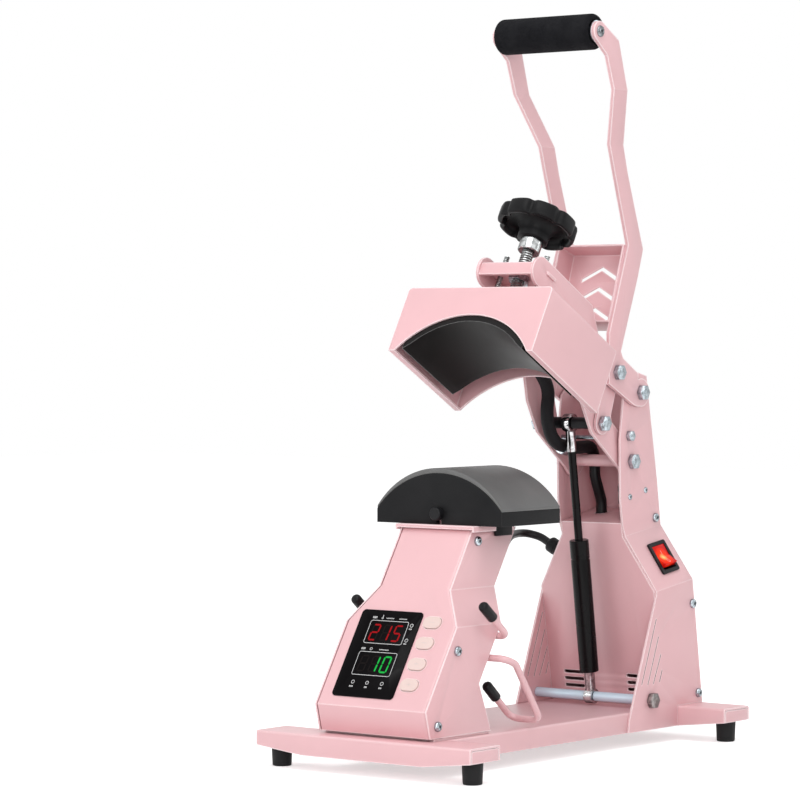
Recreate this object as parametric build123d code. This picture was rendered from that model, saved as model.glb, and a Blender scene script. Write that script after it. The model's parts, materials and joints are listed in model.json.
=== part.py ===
from build123d import *
import math
import os

# Cap heat press, free standing, with a lever handle, a gas spring and a control box.
# Millimetres.  X points to the machine's right, Y to its back and Z up.  While it is built, Y starts
# at the front crossbar; each piece is then moved so that the origin lies under the middle of the base.

# ---- base -------------------------------------------------------------------------------------
base_width = 250.0
base_length = 462.0
crossbar_depth = 45.0
end_seam = 0.5
end_seam_depth = 1.0
deck_height = 34.5
skirt_bottom = 14.4
skirt_bottom_at_end = 20.7
skirt_level_half = 70.0
sheet = 2.0
foot_diameter = 21.0
foot_toe_diameter = 18.0
foot_inset_x = 13.5
foot_inset_y = 21.5

# ---- column -----------------------------------------------------------------------------------
column_lower_half = 70.0
column_upper_half = 38.4
fold_tilt = 8.0
upper_fold_rise = 150.5
lower_fold_rise = 96.0
column_top = [(367.5, 343.1), (393.8, 365.9), (408.0, 362.4), (416.1, 316.8)]
column_rear = [(427.0, 258.1), (433.4, 214.1), (444.0, 158.7)]
column_heel_run = 18.0
column_front_upper = [(370.5, 204.0), (366.2, 214.8), (362.3, 240.5), (361.3, 299.8)]
column_front_lower = [(330.5, 14.5), (332.5, 27.9), (379.5, 147.0)]
front_panel_top = (366.5, 217.0)
front_panel_foot_y = 396.0
shelf_rear = (428.0, 228.7)
vent_rows = 3
vent_pitch = 7.0
vent_first_z = 50.0
vent_length = 24.0
vent_height = 3.2
vent_inner_x = 26.0
slits = [((378.7, 123.2), (353.4, 60.3)), ((382.8, 105.5), (364.1, 59.4)), ((387.0, 87.8), (373.6, 59.4)),
         ((389.0, 72.0), (384.5, 60.5))]
slit_width = 0.7
back_cover_sheet = 1.5
back_cover_inset = 1.0
back_cover_top = 350.0
back_flange_top = 224.0
flange_depth = 14.0

# ---- pivots, as (Y, Z) in the open pose -------------------------------------------------------
handle_pivot = (391.2, 346.1)
link_pivot = (350.0, 366.4)
eye_pivot = (332.4, 316.5)
arm_pivot = (382.4, 277.9)
gas_foot_pivot = (370.0, 43.5)
arm_travel = 29.5
pivot_bolt_diameter = 8.0
foot_bolt_diameter = 6.4
running_gap = 0.05
open_pivot_gap = 1.3
hex_across = 14.0
hex_height = 5.4
stop_bolt = (376.7, 303.3)
stop_bolt_diameter = 4.8

# ---- linkage layers, outwards from the middle --------------------------------------------------
arm_inner = 31.0
arm_sheet = 3.0
link_gap = 0.5
link_sheet = 3.0
handle_inner = 39.4
handle_sheet = 4.0
handle_upper_inner = 57.0
link_end_radius = 11.0
handle_boss_radius = 14.0
pivot_tube_diameter = 12.0
spacer_diameter = 11.5

# ---- arm, in its closed pose -------------------------------------------------------------------
arm_outline = [(162.5, 381.5), (252.0, 381.5), (276.0, 361.0), (338.0, 298.0), (356.0, 295.0),
               (382.4, 294.4), (382.4, 261.4), (370.7, 264.4), (313.0, 272.4), (283.0, 291.0),
               (266.9, 310.0), (252.0, 352.5), (162.5, 352.5)]
arm_nose = (162.5, 367.0)
arm_nose_radius = 14.5
arm_end_radius = 16.5
cross_plate_front = 151.0
cross_plate_rear = 200.0
cross_plate_z = 368.5
cross_plate_flange = 13.0
tab_from = 170.0
tab_length = 14.5
tab_reach = 2.0
fit_gap = 0.1

# ---- head, in its closed and raised pose -------------------------------------------------------
head_half_width = 85.0
head_front = 124.0
head_depth = 122.0
head_bottom = 259.0
head_height = 69.0
head_corner = 4.0
arch_radius = 98.0
arch_rise = 39.0
plate_radius = 92.0
plate_thickness = 10.0
plate_half_width = 70.5
plate_length = 92.0
hem_width = 5.0
screw_y = 174.5
screw_diameter = 12.0
screw_top = 424.0
journal_diameter = 9.8
journal_cap_diameter = 17.0
journal_cap_height = 4.0
collar_diameter = 22.0
collar_bottom = 396.0
collar_height = 13.0
knob_hub_diameter = 30.0
knob_hub_height = 11.0
knob_diameter = 78.0
knob_height = 16.0
knob_scallops = 8
knob_scallop_radius = 11.0
knob_scallop_depth = 4.5
guide_x = 24.0
guide_y = 175.5
guide_diameter = 5.4
guide_top = 391.3
guide_seat_depth = 4.5
nut_across = 19.0
nut_height = 6.0
guide_nut_across = 10.0
guide_nut_height = 4.5

# ---- handle -----------------------------------------------------------------------------------
grip_centre = (293.8, 696.2)
grip_end_radius = 10.0
crank_from_z = 590.0
crank_to_z = 642.0
handle_rear = [(298.8, 704.9), (325.9, 689.2), (339.6, 644.8), (358.4, 593.2), (367.0, 562.8),
               (394.1, 488.0), (385.5, 461.7), (355.7, 386.9), (359.7, 380.1), (385.7, 365.2)]
handle_front = [(386.7, 332.0), (377.5, 334.3), (335.5, 355.2), (335.8, 405.0), (368.4, 492.0),
                (345.6, 560.5), (336.4, 589.3), (319.5, 637.6), (306.3, 673.9), (287.7, 688.3)]
grip_diameter = 35.0
grip_tube_diameter = 22.0
grip_end_gap = 1.4
grip_rounding = 4.0
tray_foot = (366.4, 407.0)
tray_lean = 18.9
tray_height = 81.4
tray_depth = 28.0
chevron_heights = [22.0, 43.8, 65.0]
chevron_half_width = 22.5
chevron_drop = 10.5
chevron_band = 4.0

# ---- gas spring -------------------------------------------------------------------------------
gas_x = -2.0
gas_tube_from = 25.0
gas_tube_to = 158.0
gas_tube_diameter = 19.0
gas_tube_wall = 1.5
gas_rod_diameter = 8.0
gas_rod_to = 247.0
gas_rod_inner_end = 96.0
gas_piston_height = 8.0
gas_eye_width = 9.0
gas_eye_radius = 9.0
gas_foot_radius = 7.5
gas_neck_diameter = 10.0
gas_groove_at = 139.0
foot_tube_diameter = 9.6

# ---- control box ------------------------------------------------------------------------------
box_bend = (13.2, 62.1)
box_lean = 32.25
box_depth_y = 68.0
box_toe_y = 19.8
box_bottom = 37.0
box_top = 222.0
box_rear_bend_z = 82.0
box_heel_y = 112.0
box_lower_half = 65.0
box_upper_half = 42.2
box_flare_from = 136.0
box_flare_to = 168.0
box_sheet = 1.5
cover_bend = 3.0
floor_sheet = 2.0
display_left = -49.0
display_right = 22.5
display_from = 9.5
display_to = 100.0
display_thickness = 1.0
display_corner = 4.0
window_depth = 0.4
window_left = -34.4
window_right = 9.5
upper_window = (65.5, 88.7)
lower_window = (32.5, 56.0)
button_x = 35.6
button_heights = [90.4, 68.9, 47.1, 25.7]
button_length = 20.0
button_width = 12.0
button_proud = 1.6
button_gap = 0.3
button_lip = 1.2
button_lip_thickness = 1.2
button_stem = 6.0
button_travel = 1.2
board_behind = 13.0
board_half_width = 47.0
board_from = 8.0
board_to = 100.0
board_thickness = 1.6
standoff_diameter = 6.0
relay_size = (28.0, 22.0, 16.0)
relay_spread = 0.7
seat_half_width = 46.0
seat_front = 110.0
seat_length = 64.5
seat_thickness = 3.5
lug_width = 16.0
lug_height = 18.0
seat_flange_depth = 2.2
seat_flange_sheet = 1.6
tab_front = 146.0
tab_run = 25.0
tab_drop = 10.5
tab_sheet = 2.6

# ---- lower platen -----------------------------------------------------------------------------
platen_half_width = 73.5
platen_front = 117.0
platen_length = 93.0
platen_core_radius = 95.0
platen_core_height = 48.0
platen_wall = 6.0
pad_radius = 91.5
pad_thickness = 5.0
platen_knob_height = 10.1
platen_knob_diameter = 12.5
platen_knob_length = 7.0
platen_knob_shank = 5.0

# ---- cap tension wires ------------------------------------------------------------------------
wire_diameter = 6.5
wire_bend = 9.0
upper_wire_pivot = (124.5, 124.0)
upper_wire_half = 75.0
upper_wire_tip = (87.3, 153.5)
lower_wire_pivot = (115.0, 104.0)
lower_wire_half = 80.0
lower_wire_knee = (130.0, 98.0)
lower_wire_corner = (169.5, 42.6)
lower_wire_tip = (132.0, 75.0)
lower_tip_x = 46.0
cap_diameter = 10.0
cap_length = 22.0
cap_cover = 18.0
clip_x = 36.0
clip_width = 10.0
clip_wall = 1.6
clip_ear = 9.0

# ---- switch, inlet, gland and cables ----------------------------------------------------------
rocker_centre = (412.8, 181.7)
bezel_width = 29.0
bezel_length = 34.0
bezel_rim = 2.0
rocker_opening_width = 21.0
rocker_opening_length = 26.4
bezel_body_depth = 12.0
bezel_wall = 1.6
rocker_side_gap = 0.3
rocker_half_length = 11.4
rocker_pivot_depth = 4.0
rocker_swing = 12.0
rocker_crown = 4.2
rocker_dip = 1.4
rocker_skirt = 1.5
rocker_keel = 7.0
rocker_pin_diameter = 2.4
inlet_z = 82.0
inlet_width = 48.0
inlet_height = 28.0
inlet_flange = 2.5
inlet_depth = 20.0
inlet_mouth = (24.6, 16.6, 16.0)
inlet_pin = (2.0, 4.0, 12.0)
inlet_pin_pitch = 7.0
inlet_pin_drop = 2.0
gland_base = (382.0, 186.5)
gland_diameter = 16.0
gland_head = 10.0
gland_neck = 4.0
gland_rounding = 3.5
cable_diameter = 8.0
cable_exit = (-10.0, 193.0)
cable_stub = 15.0
cable_points = [(-15.0, 199.0, 181.5), (-24.0, 228.0, 182.0), (-37.0, 262.0, 189.0),
                (-53.0, 294.0, 196.0), (-68.0, 320.0, 200.5), (-80.0, 343.0, 202.5),
                (-84.8, 360.0, 203.2), (-82.5, 372.0, 203.0)]
cable_bow = 12.0
sleeve_x = -16.0
sleeve_diameter = 13.0
sleeve_arc_radius = 13.5
sleeve_start_angle = 55.0
sleeve_bore_lead_angle = 5.0
sleeve_points = [(352.0, 290.6), (324.0, 297.0), (312.0, 322.0), (317.0, 349.0), (303.0, 366.6)]
sleeve_end = (245.6, 316.0)
sleeve_end_gap = 0.4
bundle_diameter = 11.0
bundle_gap = 0.3
bundle_end_angle = 92.0
bundle_hole_gap = 1.0
bundle_shift = 12.0
bundle_knees = (236.0, 262.0)
bundle_knee_radius = 20.0
bundle_hole_depth = 18.0
switch_body = (376.0, 409.0, 236.0, 256.0)
switch_thickness = 10.0

# ---- small screws -----------------------------------------------------------------------------
small_screw_diameter = 4.0
small_head_diameter = 7.6
small_head_height = 2.2
small_screw_length = 8.0
column_screw_sites = [(423.5, 220.4, column_upper_half), (443.2, 134.6, column_lower_half),
                      (453.9, 44.4, column_lower_half)]
box_screw_sites = [(121.3, 211.3, box_upper_half), (60.3, 114.3, box_lower_half),
                   (30.2, 47.9, box_lower_half)]
switch_screw_sites = [(378.9, 242.7, column_upper_half), (406.3, 248.5, column_upper_half)]

# ---- values that follow from those above -------------------------------------------------------
base_rear = column_rear[-1][0] + column_heel_run
base_front = base_rear - base_length
lean_tangent = math.tan(math.radians(box_lean))
column_upper_inner = column_upper_half - sheet
column_lower_inner = column_lower_half - sheet
beam_half = column_lower_inner
web_underside = deck_height - sheet
arm_outer = arm_inner + arm_sheet
link_inner = arm_outer + link_gap
link_outer = link_inner + link_sheet
handle_outer = handle_inner + handle_sheet
head_top = head_bottom + head_height
arch_centre_z = head_bottom + arch_rise - arch_radius
knob_bottom = collar_bottom + collar_height + knob_hub_height
seat_top = box_top + seat_thickness
core_centre_z = seat_top + platen_core_height - platen_core_radius
pad_centre_z = seat_top + platen_core_height + pad_thickness - pad_radius
gas_length = math.dist(gas_foot_pivot, eye_pivot)
sleeve_bore = bundle_diameter + 2 * bundle_gap


# ---- helpers ----------------------------------------------------------------------------------
def plate(points, x_from, x_to):
    """A plate that stands between two X planes, with its outline given in (Y, Z)."""
    face = Plane.YZ.offset(x_from) * make_face(Polyline(*points, close=True))
    return extrude(face, amount=x_to - x_from)


def span(points, y_from, y_to):
    """A bar that runs between two Y planes, with its outline given in (X, Z)."""
    face = Plane.XZ.offset(-y_to) * make_face(Polyline(*points, close=True))
    return extrude(face, amount=y_to - y_from)


def block(x_from, x_to, y_from, y_to, z_from, z_to):
    """A box between the given planes."""
    centre = ((x_from + x_to) / 2, (y_from + y_to) / 2, (z_from + z_to) / 2)
    return Pos(*centre) * Box(x_to - x_from, y_to - y_from, z_to - z_from)


def rod_x(place, diameter, x_from, x_to):
    """A round bar along X, centred on a (Y, Z) place."""
    centre = Pos((x_from + x_to) / 2, place[0], place[1])
    return centre * Rot(0, 90, 0) * Cylinder(diameter / 2, x_to - x_from)


def rod_y(x, z, diameter, y_from, y_to):
    """A round bar along Y."""
    return Pos(x, (y_from + y_to) / 2, z) * Rot(90, 0, 0) * Cylinder(diameter / 2, y_to - y_from)


def rod_z(x, y, diameter, z_from, z_to):
    """A round bar along Z."""
    return Pos(x, y, (z_from + z_to) / 2) * Cylinder(diameter / 2, z_to - z_from)


def hexagon_x(place, across, x_from, x_to):
    """A hexagonal head or nut along X."""
    shape = RegularPolygon(across / 2, 6, major_radius=False)
    face = Plane.YZ.offset(x_from) * Pos(place[0], place[1]) * shape
    return extrude(face, amount=x_to - x_from)


def hexagon_z(x, y, across, z_from, z_to):
    """A hexagonal nut along Z."""
    face = Pos(x, y, z_from) * RegularPolygon(across / 2, 6, major_radius=False)
    return extrude(face, amount=z_to - z_from)


def mirrored(solid):
    """The same piece on the machine's left side."""
    return mirror(solid, about=Plane.YZ)


def both_sides(solid):
    """A piece and its twin on the other side."""
    return [solid, mirrored(solid)]


def group(solids):
    """Separate solids that share one node."""
    return Compound(children=[each.solid() for each in solids])


def opened(solid):
    """Turns a piece from the arm's closed pose to its open pose about the arm's pivot."""
    return solid.rotate(Axis((0, arm_pivot[0], arm_pivot[1]), (1, 0, 0)), -arm_travel)


def opened_point(place):
    """The open place of a (Y, Z) point that is given in the closed pose."""
    turn = math.radians(-arm_travel)
    y = place[0] - arm_pivot[0]
    z = place[1] - arm_pivot[1]
    return (arm_pivot[0] + y * math.cos(turn) - z * math.sin(turn),
            arm_pivot[1] + y * math.sin(turn) + z * math.cos(turn))


def closed_point(place):
    """The closed place of a (Y, Z) point that is given in the open pose."""
    turn = math.radians(arm_travel)
    y = place[0] - arm_pivot[0]
    z = place[1] - arm_pivot[1]
    return (arm_pivot[0] + y * math.cos(turn) - z * math.sin(turn),
            arm_pivot[1] + y * math.sin(turn) + z * math.cos(turn))


def corner_radii(points, share=0.45):
    """Arc radii for a route, each as large as the two runs beside its corner allow."""
    radii = []
    for before, here, after in zip(points, points[1:], points[2:]):
        run_in = Vector(*here) - Vector(*before)
        run_out = Vector(*after) - Vector(*here)
        turn = math.radians(run_in.get_angle(run_out))
        radii.append(share * min(run_in.length, run_out.length) / math.tan(turn / 2))
    return radii


def swept(path, diameter):
    """A round tube along a path, filled."""
    start = Plane(origin=path @ 0, z_dir=path % 0)
    return sweep(start * Circle(diameter / 2), path=path)


# ---- base -------------------------------------------------------------------------------------
def crossbar(y_front):
    """A channel open downwards, with closed ends and a skirt that rises towards them."""
    half = base_width / 2
    y_back = y_front + crossbar_depth
    outer = block(-half, half, y_front, y_back, skirt_bottom, deck_height)
    outer = fillet(outer.edges().filter_by(Axis.X).group_by(Axis.Z)[-1], sheet)
    inner = block(sheet - half, half - sheet, y_front + sheet, y_back - sheet,
                  skirt_bottom - sheet, web_underside)
    seam = end_panel(y_front, half, 0) - end_panel(y_front, half, end_seam)
    rise = [(skirt_level_half, skirt_bottom), (half + sheet, skirt_bottom_at_end),
            (half + sheet, skirt_bottom - sheet), (skirt_level_half, skirt_bottom - sheet)]
    right = span(rise, y_front - sheet, y_back + sheet)
    return outer - inner - right - mirrored(right) - seam - mirrored(seam)


def end_panel(y_front, half, inset):
    """The outer skin of the plate that closes a crossbar's right end, set in from its edges."""
    panel = block(half - end_seam_depth, half + sheet, y_front + sheet + inset,
                  y_front + crossbar_depth - sheet - inset, skirt_bottom - sheet, web_underside - inset)
    return fillet(panel.edges().filter_by(Axis.X).group_by(Axis.Z)[-1], sheet)


def base_beam():
    """The channel, open downwards, that joins the two crossbars and carries the box."""
    y_from = base_front + crossbar_depth
    y_to = base_rear - crossbar_depth
    outer = block(-beam_half, beam_half, y_from, y_to, skirt_bottom, deck_height)
    outer = fillet(outer.edges().filter_by(Axis.Y).group_by(Axis.Z)[-1], sheet)
    inner = block(sheet - beam_half, beam_half - sheet, y_from - sheet, y_to + sheet,
                  skirt_bottom - sheet, web_underside)
    return outer - inner


def rubber_feet():
    """Four tapered feet, seated under the crossbars' webs."""
    feet = []
    for y in (base_front + foot_inset_y, base_rear - foot_inset_y):
        for side in (-1, 1):
            place = Pos(side * (base_width / 2 - foot_inset_x), y, web_underside / 2)
            feet.append(place * Cone(foot_toe_diameter / 2, foot_diameter / 2, web_underside))
    return group(feet)


# ---- column -----------------------------------------------------------------------------------
def fold_plane():
    """The plane square to the column's folds: X, and the height square to the folds."""
    tilt = math.radians(fold_tilt)
    along = Vector(0, math.cos(tilt), math.sin(tilt))
    return Plane(origin=along * base_rear * 2, x_dir=(1, 0, 0), z_dir=along * -1)


def column_section(inset):
    """The half width of the column at each height square to the folds, less an inset."""
    return [(column_upper_half - inset, base_rear), (column_upper_half - inset, upper_fold_rise),
            (column_lower_half - inset, lower_fold_rise), (column_lower_half - inset, -base_rear)]


def column_space(inset):
    """The room between the column's plates, as far as a plane set in from their outer faces."""
    right = column_section(inset)
    left = [(-x, rise) for x, rise in reversed(right)]
    face = fold_plane() * make_face(Polyline(*right, *left, close=True))
    return extrude(face, amount=base_rear * 3)


def column_outline():
    """The side outline of the column plates."""
    notch_y = base_rear - crossbar_depth
    foot = [(base_rear, deck_height), (notch_y, deck_height), (notch_y, column_front_lower[0][1])]
    return column_top + column_rear + foot + column_front_lower + column_front_upper


def screw_bores(sites, side):
    """Shank holes for the small screws on one side."""
    bores = []
    for y, z, half in sites:
        reach = small_screw_length + sheet
        bore = rod_x((y, z), small_screw_diameter + 2 * running_gap, half - reach, half + sheet)
        bores.append(bore if side > 0 else mirrored(bore))
    return bores


def facet_plane():
    """The plane of the right flare facet at the switch, facing outwards, with Y up the slope."""
    tilt = math.radians(fold_tilt)
    rise = -rocker_centre[0] * math.sin(tilt) + rocker_centre[1] * math.cos(tilt)
    share = (upper_fold_rise - rise) / (upper_fold_rise - lower_fold_rise)
    x = column_upper_half + share * (column_lower_half - column_upper_half)
    along = Vector(0, math.cos(tilt), math.sin(tilt))
    up = Vector(column_upper_half - column_lower_half, 0, 0)
    up = up + Vector(0, -math.sin(tilt), math.cos(tilt)) * (upper_fold_rise - lower_fold_rise)
    return Plane(origin=(x, *rocker_centre), x_dir=along, z_dir=along.cross(up))


def gland_plane():
    """The plane of the left flare facet at the cable gland, facing outwards."""
    tilt = math.radians(fold_tilt)
    rise = -gland_base[0] * math.sin(tilt) + gland_base[1] * math.cos(tilt)
    share = (upper_fold_rise - rise) / (upper_fold_rise - lower_fold_rise)
    x = column_upper_half + share * (column_lower_half - column_upper_half)
    along = Vector(0, math.cos(tilt), math.sin(tilt))
    up = Vector(column_lower_half - column_upper_half, 0, 0)
    up = up + Vector(0, -math.sin(tilt), math.cos(tilt)) * (upper_fold_rise - lower_fold_rise)
    return Plane(origin=(-x, *gland_base), x_dir=along, z_dir=up.cross(along))


def slit_face(slit):
    """The outline of one cut slit in the column's side, from its upper to its lower end."""
    run = Vector(*slit[1]) - Vector(*slit[0])
    turn = math.degrees(math.atan2(run.Y, run.X))
    middle = Pos((slit[0][0] + slit[1][0]) / 2, (slit[0][1] + slit[1][1]) / 2)
    return Plane.YZ * middle * Rot(0, 0, turn) * SlotOverall(run.length, slit_width)


def column_plate(side):
    """One bent side plate of the column, with its pivot and screw holes."""
    shell = column_space(0) - column_space(sheet)
    solid = plate(column_outline(), 0, base_width / 2) & shell
    bolt = pivot_bolt_diameter + 2 * running_gap
    for place in (handle_pivot, arm_pivot):
        solid = solid - rod_x(place, bolt, 0, base_width / 2)
    solid = solid - rod_x(gas_foot_pivot, foot_bolt_diameter + 2 * running_gap, 0, base_width / 2)
    solid = solid - rod_x(stop_bolt, stop_bolt_diameter + 2 * running_gap, 0, base_width / 2)
    for slit in slits:
        solid = solid - extrude(slit_face(slit), amount=base_width / 2)
    if side < 0:
        solid = mirrored(solid)
    solid = solid - screw_bores(column_screw_sites, side)
    if side > 0:
        solid = solid - screw_bores(switch_screw_sites, side)
        cut = Box(rocker_opening_width + 2 * (bezel_wall + fit_gap),
                  rocker_opening_length + 2 * (bezel_wall + fit_gap), bezel_body_depth)
        solid = solid - facet_plane() * cut
    if side < 0:
        solid = solid - gland_plane() * Cylinder(cable_diameter / 2 + sheet + fit_gap, gland_diameter)
    return solid


def column_front_panel():
    """The leaning front panel between the plates, with its vents and the shelf at its top."""
    top = front_panel_top
    foot = (front_panel_foot_y, deck_height)
    outline = [foot, top, shelf_rear, (shelf_rear[0], shelf_rear[1] - sheet),
               (top[0] + sheet, top[1] - sheet), (foot[0] + sheet, foot[1])]
    panel = plate(outline, -column_lower_half, column_lower_half) & column_space(sheet)
    hole = (sleeve_x, arm_pivot[0] + sleeve_arc_radius + bundle_shift)
    panel = panel - rod_z(*hole, bundle_diameter + 2 * bundle_hole_gap, top[1] - bundle_hole_depth,
                          shelf_rear[1] + sheet)
    centre_x = vent_inner_x + vent_length / 2
    for row in range(vent_rows):
        z = vent_first_z + row * vent_pitch
        slot = Plane.XZ.offset(-base_rear) * Pos(centre_x, z) * SlotOverall(vent_length, vent_height)
        cut = extrude(slot, amount=base_rear / 2)
        panel = panel - cut - mirrored(cut)
    return panel


def rear_offset(distance):
    """The column's rear edge below the shelf, moved forwards."""
    points = column_top[-2:] + column_rear + [(base_rear, deck_height)]
    return [(y - distance, z) for y, z in points]


def back_strip(near, far, top):
    """The space behind the column between two distances from its rear edge, up to a height."""
    strip = plate(rear_offset(near) + rear_offset(far)[::-1], -base_width / 2, base_width / 2)
    return strip & block(-base_width, base_width, 0, base_rear, deck_height, top)


def inlet_plane():
    """The plane of the back cover's outer face at the mains inlet, facing backwards."""
    upper = column_rear[-1]
    share = (inlet_z - deck_height) / (upper[1] - deck_height)
    y = base_rear - back_cover_inset + share * (upper[0] - base_rear)
    up = Vector(0, upper[0] - base_rear, upper[1] - deck_height)
    return Plane(origin=(0, y, inlet_z), x_dir=(-1, 0, 0), z_dir=Vector(-1, 0, 0).cross(up))


def column_back_cover():
    """The rear cover, with flanges inside the side plates that take the screws."""
    face = back_strip(back_cover_inset, back_cover_inset + back_cover_sheet, back_cover_top)
    face = face & column_space(sheet + fit_gap)
    band = back_strip(back_cover_inset, flange_depth, back_flange_top)
    flanges = band & (column_space(sheet + fit_gap) - column_space(sheet + fit_gap + back_cover_sheet))
    cover = face + flanges
    cut = Box(inlet_mouth[0] + 2 * (sheet + fit_gap), inlet_mouth[1] + 2 * (sheet + fit_gap), inlet_depth)
    cover = cover - inlet_plane() * cut
    room = Box(rocker_opening_width + 4 * bezel_wall, rocker_opening_length + 4 * bezel_wall,
               2 * bezel_body_depth + bezel_wall)
    cover = cover - facet_plane() * room
    return cover - screw_bores(column_screw_sites, 1) - screw_bores(column_screw_sites, -1)


def inlet_socket():
    """A three pin mains inlet with a flange on the back cover."""
    flange = Pos(0, 0, inlet_flange / 2) * Box(inlet_width, inlet_height, inlet_flange)
    flange = fillet(flange.edges().filter_by(Axis.Z), inlet_flange)
    body = Pos(0, 0, -inlet_depth / 2)
    body = body * Box(inlet_mouth[0] + 2 * sheet, inlet_mouth[1] + 2 * sheet, inlet_depth)
    mouth = Pos(0, 0, inlet_flange - inlet_mouth[2] / 2) * Box(*inlet_mouth)
    socket = flange + body - mouth
    floor = inlet_flange - inlet_mouth[2]
    for column in (-1, 0, 1):
        place = Pos(column * inlet_pin_pitch, (1 - abs(column)) * inlet_pin[1] - inlet_pin_drop, floor)
        socket = socket + place * Pos(0, 0, inlet_pin[2] / 2) * Box(*inlet_pin)
    return inlet_plane() * socket


def rocker_bezel():
    """The frame and the housing of the power switch."""
    rim = Pos(0, 0, bezel_rim / 2) * Box(bezel_width, bezel_length, bezel_rim)
    rim = fillet(rim.edges().filter_by(Axis.Z), bezel_rim)
    body = Box(rocker_opening_width + 2 * bezel_wall, rocker_opening_length + 2 * bezel_wall,
               bezel_body_depth)
    body = Pos(0, 0, -bezel_body_depth / 2) * body
    room = Box(rocker_opening_width, rocker_opening_length, bezel_body_depth + bezel_rim)
    room = Pos(0, 0, (bezel_rim - bezel_body_depth + 2 * bezel_wall) / 2) * room
    return facet_plane() * (rim + body - room - rocker_pins(running_gap))


def rocker_pins(gap):
    """The rocker's pivot pins, which end inside the housing's side walls."""
    reach = rocker_opening_width / 2 + bezel_wall / 2 + gap
    return rod_x((0, -rocker_pivot_depth), rocker_pin_diameter + 2 * gap, -reach, reach)


def rocker():
    """The red rocker, with its upper half pressed in."""
    half = rocker_half_length
    profile = [(-half, rocker_crown), (0, rocker_dip), (half, rocker_crown), (half, -rocker_skirt),
               (0, -rocker_keel), (-half, -rocker_skirt)]
    width = rocker_opening_width - 2 * rocker_side_gap
    face = Plane.YZ.offset(-width / 2) * make_face(Polyline(*profile, close=True))
    solid = extrude(face, amount=width) + rocker_pins(0)
    solid = solid.rotate(Axis((0, 0, -rocker_pivot_depth), (1, 0, 0)), -rocker_swing)
    return facet_plane() * solid


def cable_gland():
    """The strain relief on the left facet, with the cable's bore through it."""
    head = Pos(0, 0, gland_neck + gland_head / 2) * Cylinder(gland_diameter / 2, gland_head)
    head = fillet(head.edges().group_by(Axis.Z)[-1], gland_rounding)
    neck = Pos(0, 0, gland_neck / 2) * Cylinder(gland_diameter / 2 - sheet / 4, gland_neck)
    thread = Pos(0, 0, -sheet) * Cylinder(cable_diameter / 2 + sheet, 2 * sheet)
    return gland_plane() * (head + neck + thread)


def link_cable():
    """The cable from the box's rear panel to the gland: straight runs joined by arcs."""
    axis = gland_plane()
    mouth = axis.origin + axis.z_dir * (gland_neck + gland_head)
    rear = rear_plane(cable_exit[1])
    start = rear.origin + Vector(cable_exit[0], 0, 0)
    stub = start + rear.z_dir * cable_stub
    bow = axis.origin + axis.z_dir * (gland_neck + gland_head + cable_bow)
    points = [tuple(start), tuple(stub)] + cable_points + [tuple(bow), tuple(mouth)]
    radii = corner_radii(points)
    path = FilletPolyline(*points, radius=radii)
    tube = swept(path, cable_diameter)
    print("link_cable radii", [round(each, 1) for each in radii])
    section = math.pi * cable_diameter ** 2 / 4
    print("link_cable volume / section x length", round(tube.volume / (section * path.length), 4))
    return tube


def limit_switch():
    """The switch on the right plate that tells the timer that the arm is down."""
    y_from, y_to, z_from, z_to = switch_body
    x_to = column_upper_inner
    body = block(x_to - switch_thickness, x_to, y_from, y_to, z_from, z_to)
    plunger = block(x_to - switch_thickness + sheet, x_to - sheet, y_from - 2 * sheet, y_from,
                    z_to - 4 * sheet, z_to - sheet)
    return body + plunger - screw_bores(switch_screw_sites, 1)


# ---- control box ------------------------------------------------------------------------------
def front_y(z):
    """Y of the box's leaning front face at a height."""
    return box_bend[0] + (z - box_bend[1]) * lean_tangent


def rear_panel_y(z):
    """Y of the box's leaning rear face at a height."""
    return front_y(z) + box_depth_y


def front_plane():
    """The plane of the box's front face, from its lower bend, with Y up the slope."""
    lean = math.radians(box_lean)
    normal = (0, -math.cos(lean), math.sin(lean))
    return Plane(origin=(0, *box_bend), x_dir=(1, 0, 0), z_dir=normal)


def rear_plane(z):
    """The plane of the box's rear face at a height, facing backwards and down."""
    lean = math.radians(box_lean)
    normal = (0, math.cos(lean), -math.sin(lean))
    return Plane(origin=(0, rear_panel_y(z), z), x_dir=(-1, 0, 0), z_dir=normal)


def box_space(inset, y_from=0.0, y_to=base_rear):
    """The room inside the box as seen from the front, set in from its side faces."""
    lower = box_lower_half - inset
    upper = box_upper_half - inset
    right = [(lower, box_bottom), (lower, box_flare_from), (upper, box_flare_to), (upper, box_top)]
    left = [(-x, z) for x, z in reversed(right)]
    return span(right + left, y_from, y_to)


def front_line(distance):
    """The front outline from the bottom up, moved backwards."""
    return [(box_toe_y + distance, box_bottom), (box_bend[0] + distance, box_bend[1]),
            (front_y(box_top) + distance, box_top)]


def rear_line(distance):
    """The rear outline from the top down, moved forwards."""
    return [(rear_panel_y(box_top) - distance, box_top),
            (rear_panel_y(box_rear_bend_z) - distance, box_rear_bend_z),
            (box_heel_y - distance, box_bottom)]


def side_space(front, rear):
    """The room inside the box as seen from the side, set in from its front and rear faces."""
    return plate(front_line(front) + rear_line(rear), -box_lower_half, box_lower_half)


def box_front_cover():
    """The leaning front sheet between the body's sides, bent back into flanges, with key holes."""
    slope = box_sheet / math.cos(math.radians(box_lean))
    near = box_sheet + fit_gap
    band = side_space(0, 0) - side_space(flange_depth + 2 * slope, 0)
    solid = band & box_space(near)
    bends = [edge for edge in solid.edges() if on_front_corner(edge)]
    solid = fillet(bends, cover_bend)
    cover = solid - (side_space(slope, 0) & box_space(near + box_sheet))
    for s in button_heights:
        cut = SlotOverall(button_length + 2 * button_gap, button_width + 2 * button_gap)
        hole = front_plane() * Pos(button_x, s, -flange_depth) * cut
        cover = cover - extrude(hole, amount=2 * flange_depth)
    return cover - screw_bores(box_screw_sites, 1) - screw_bores(box_screw_sites, -1)


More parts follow.
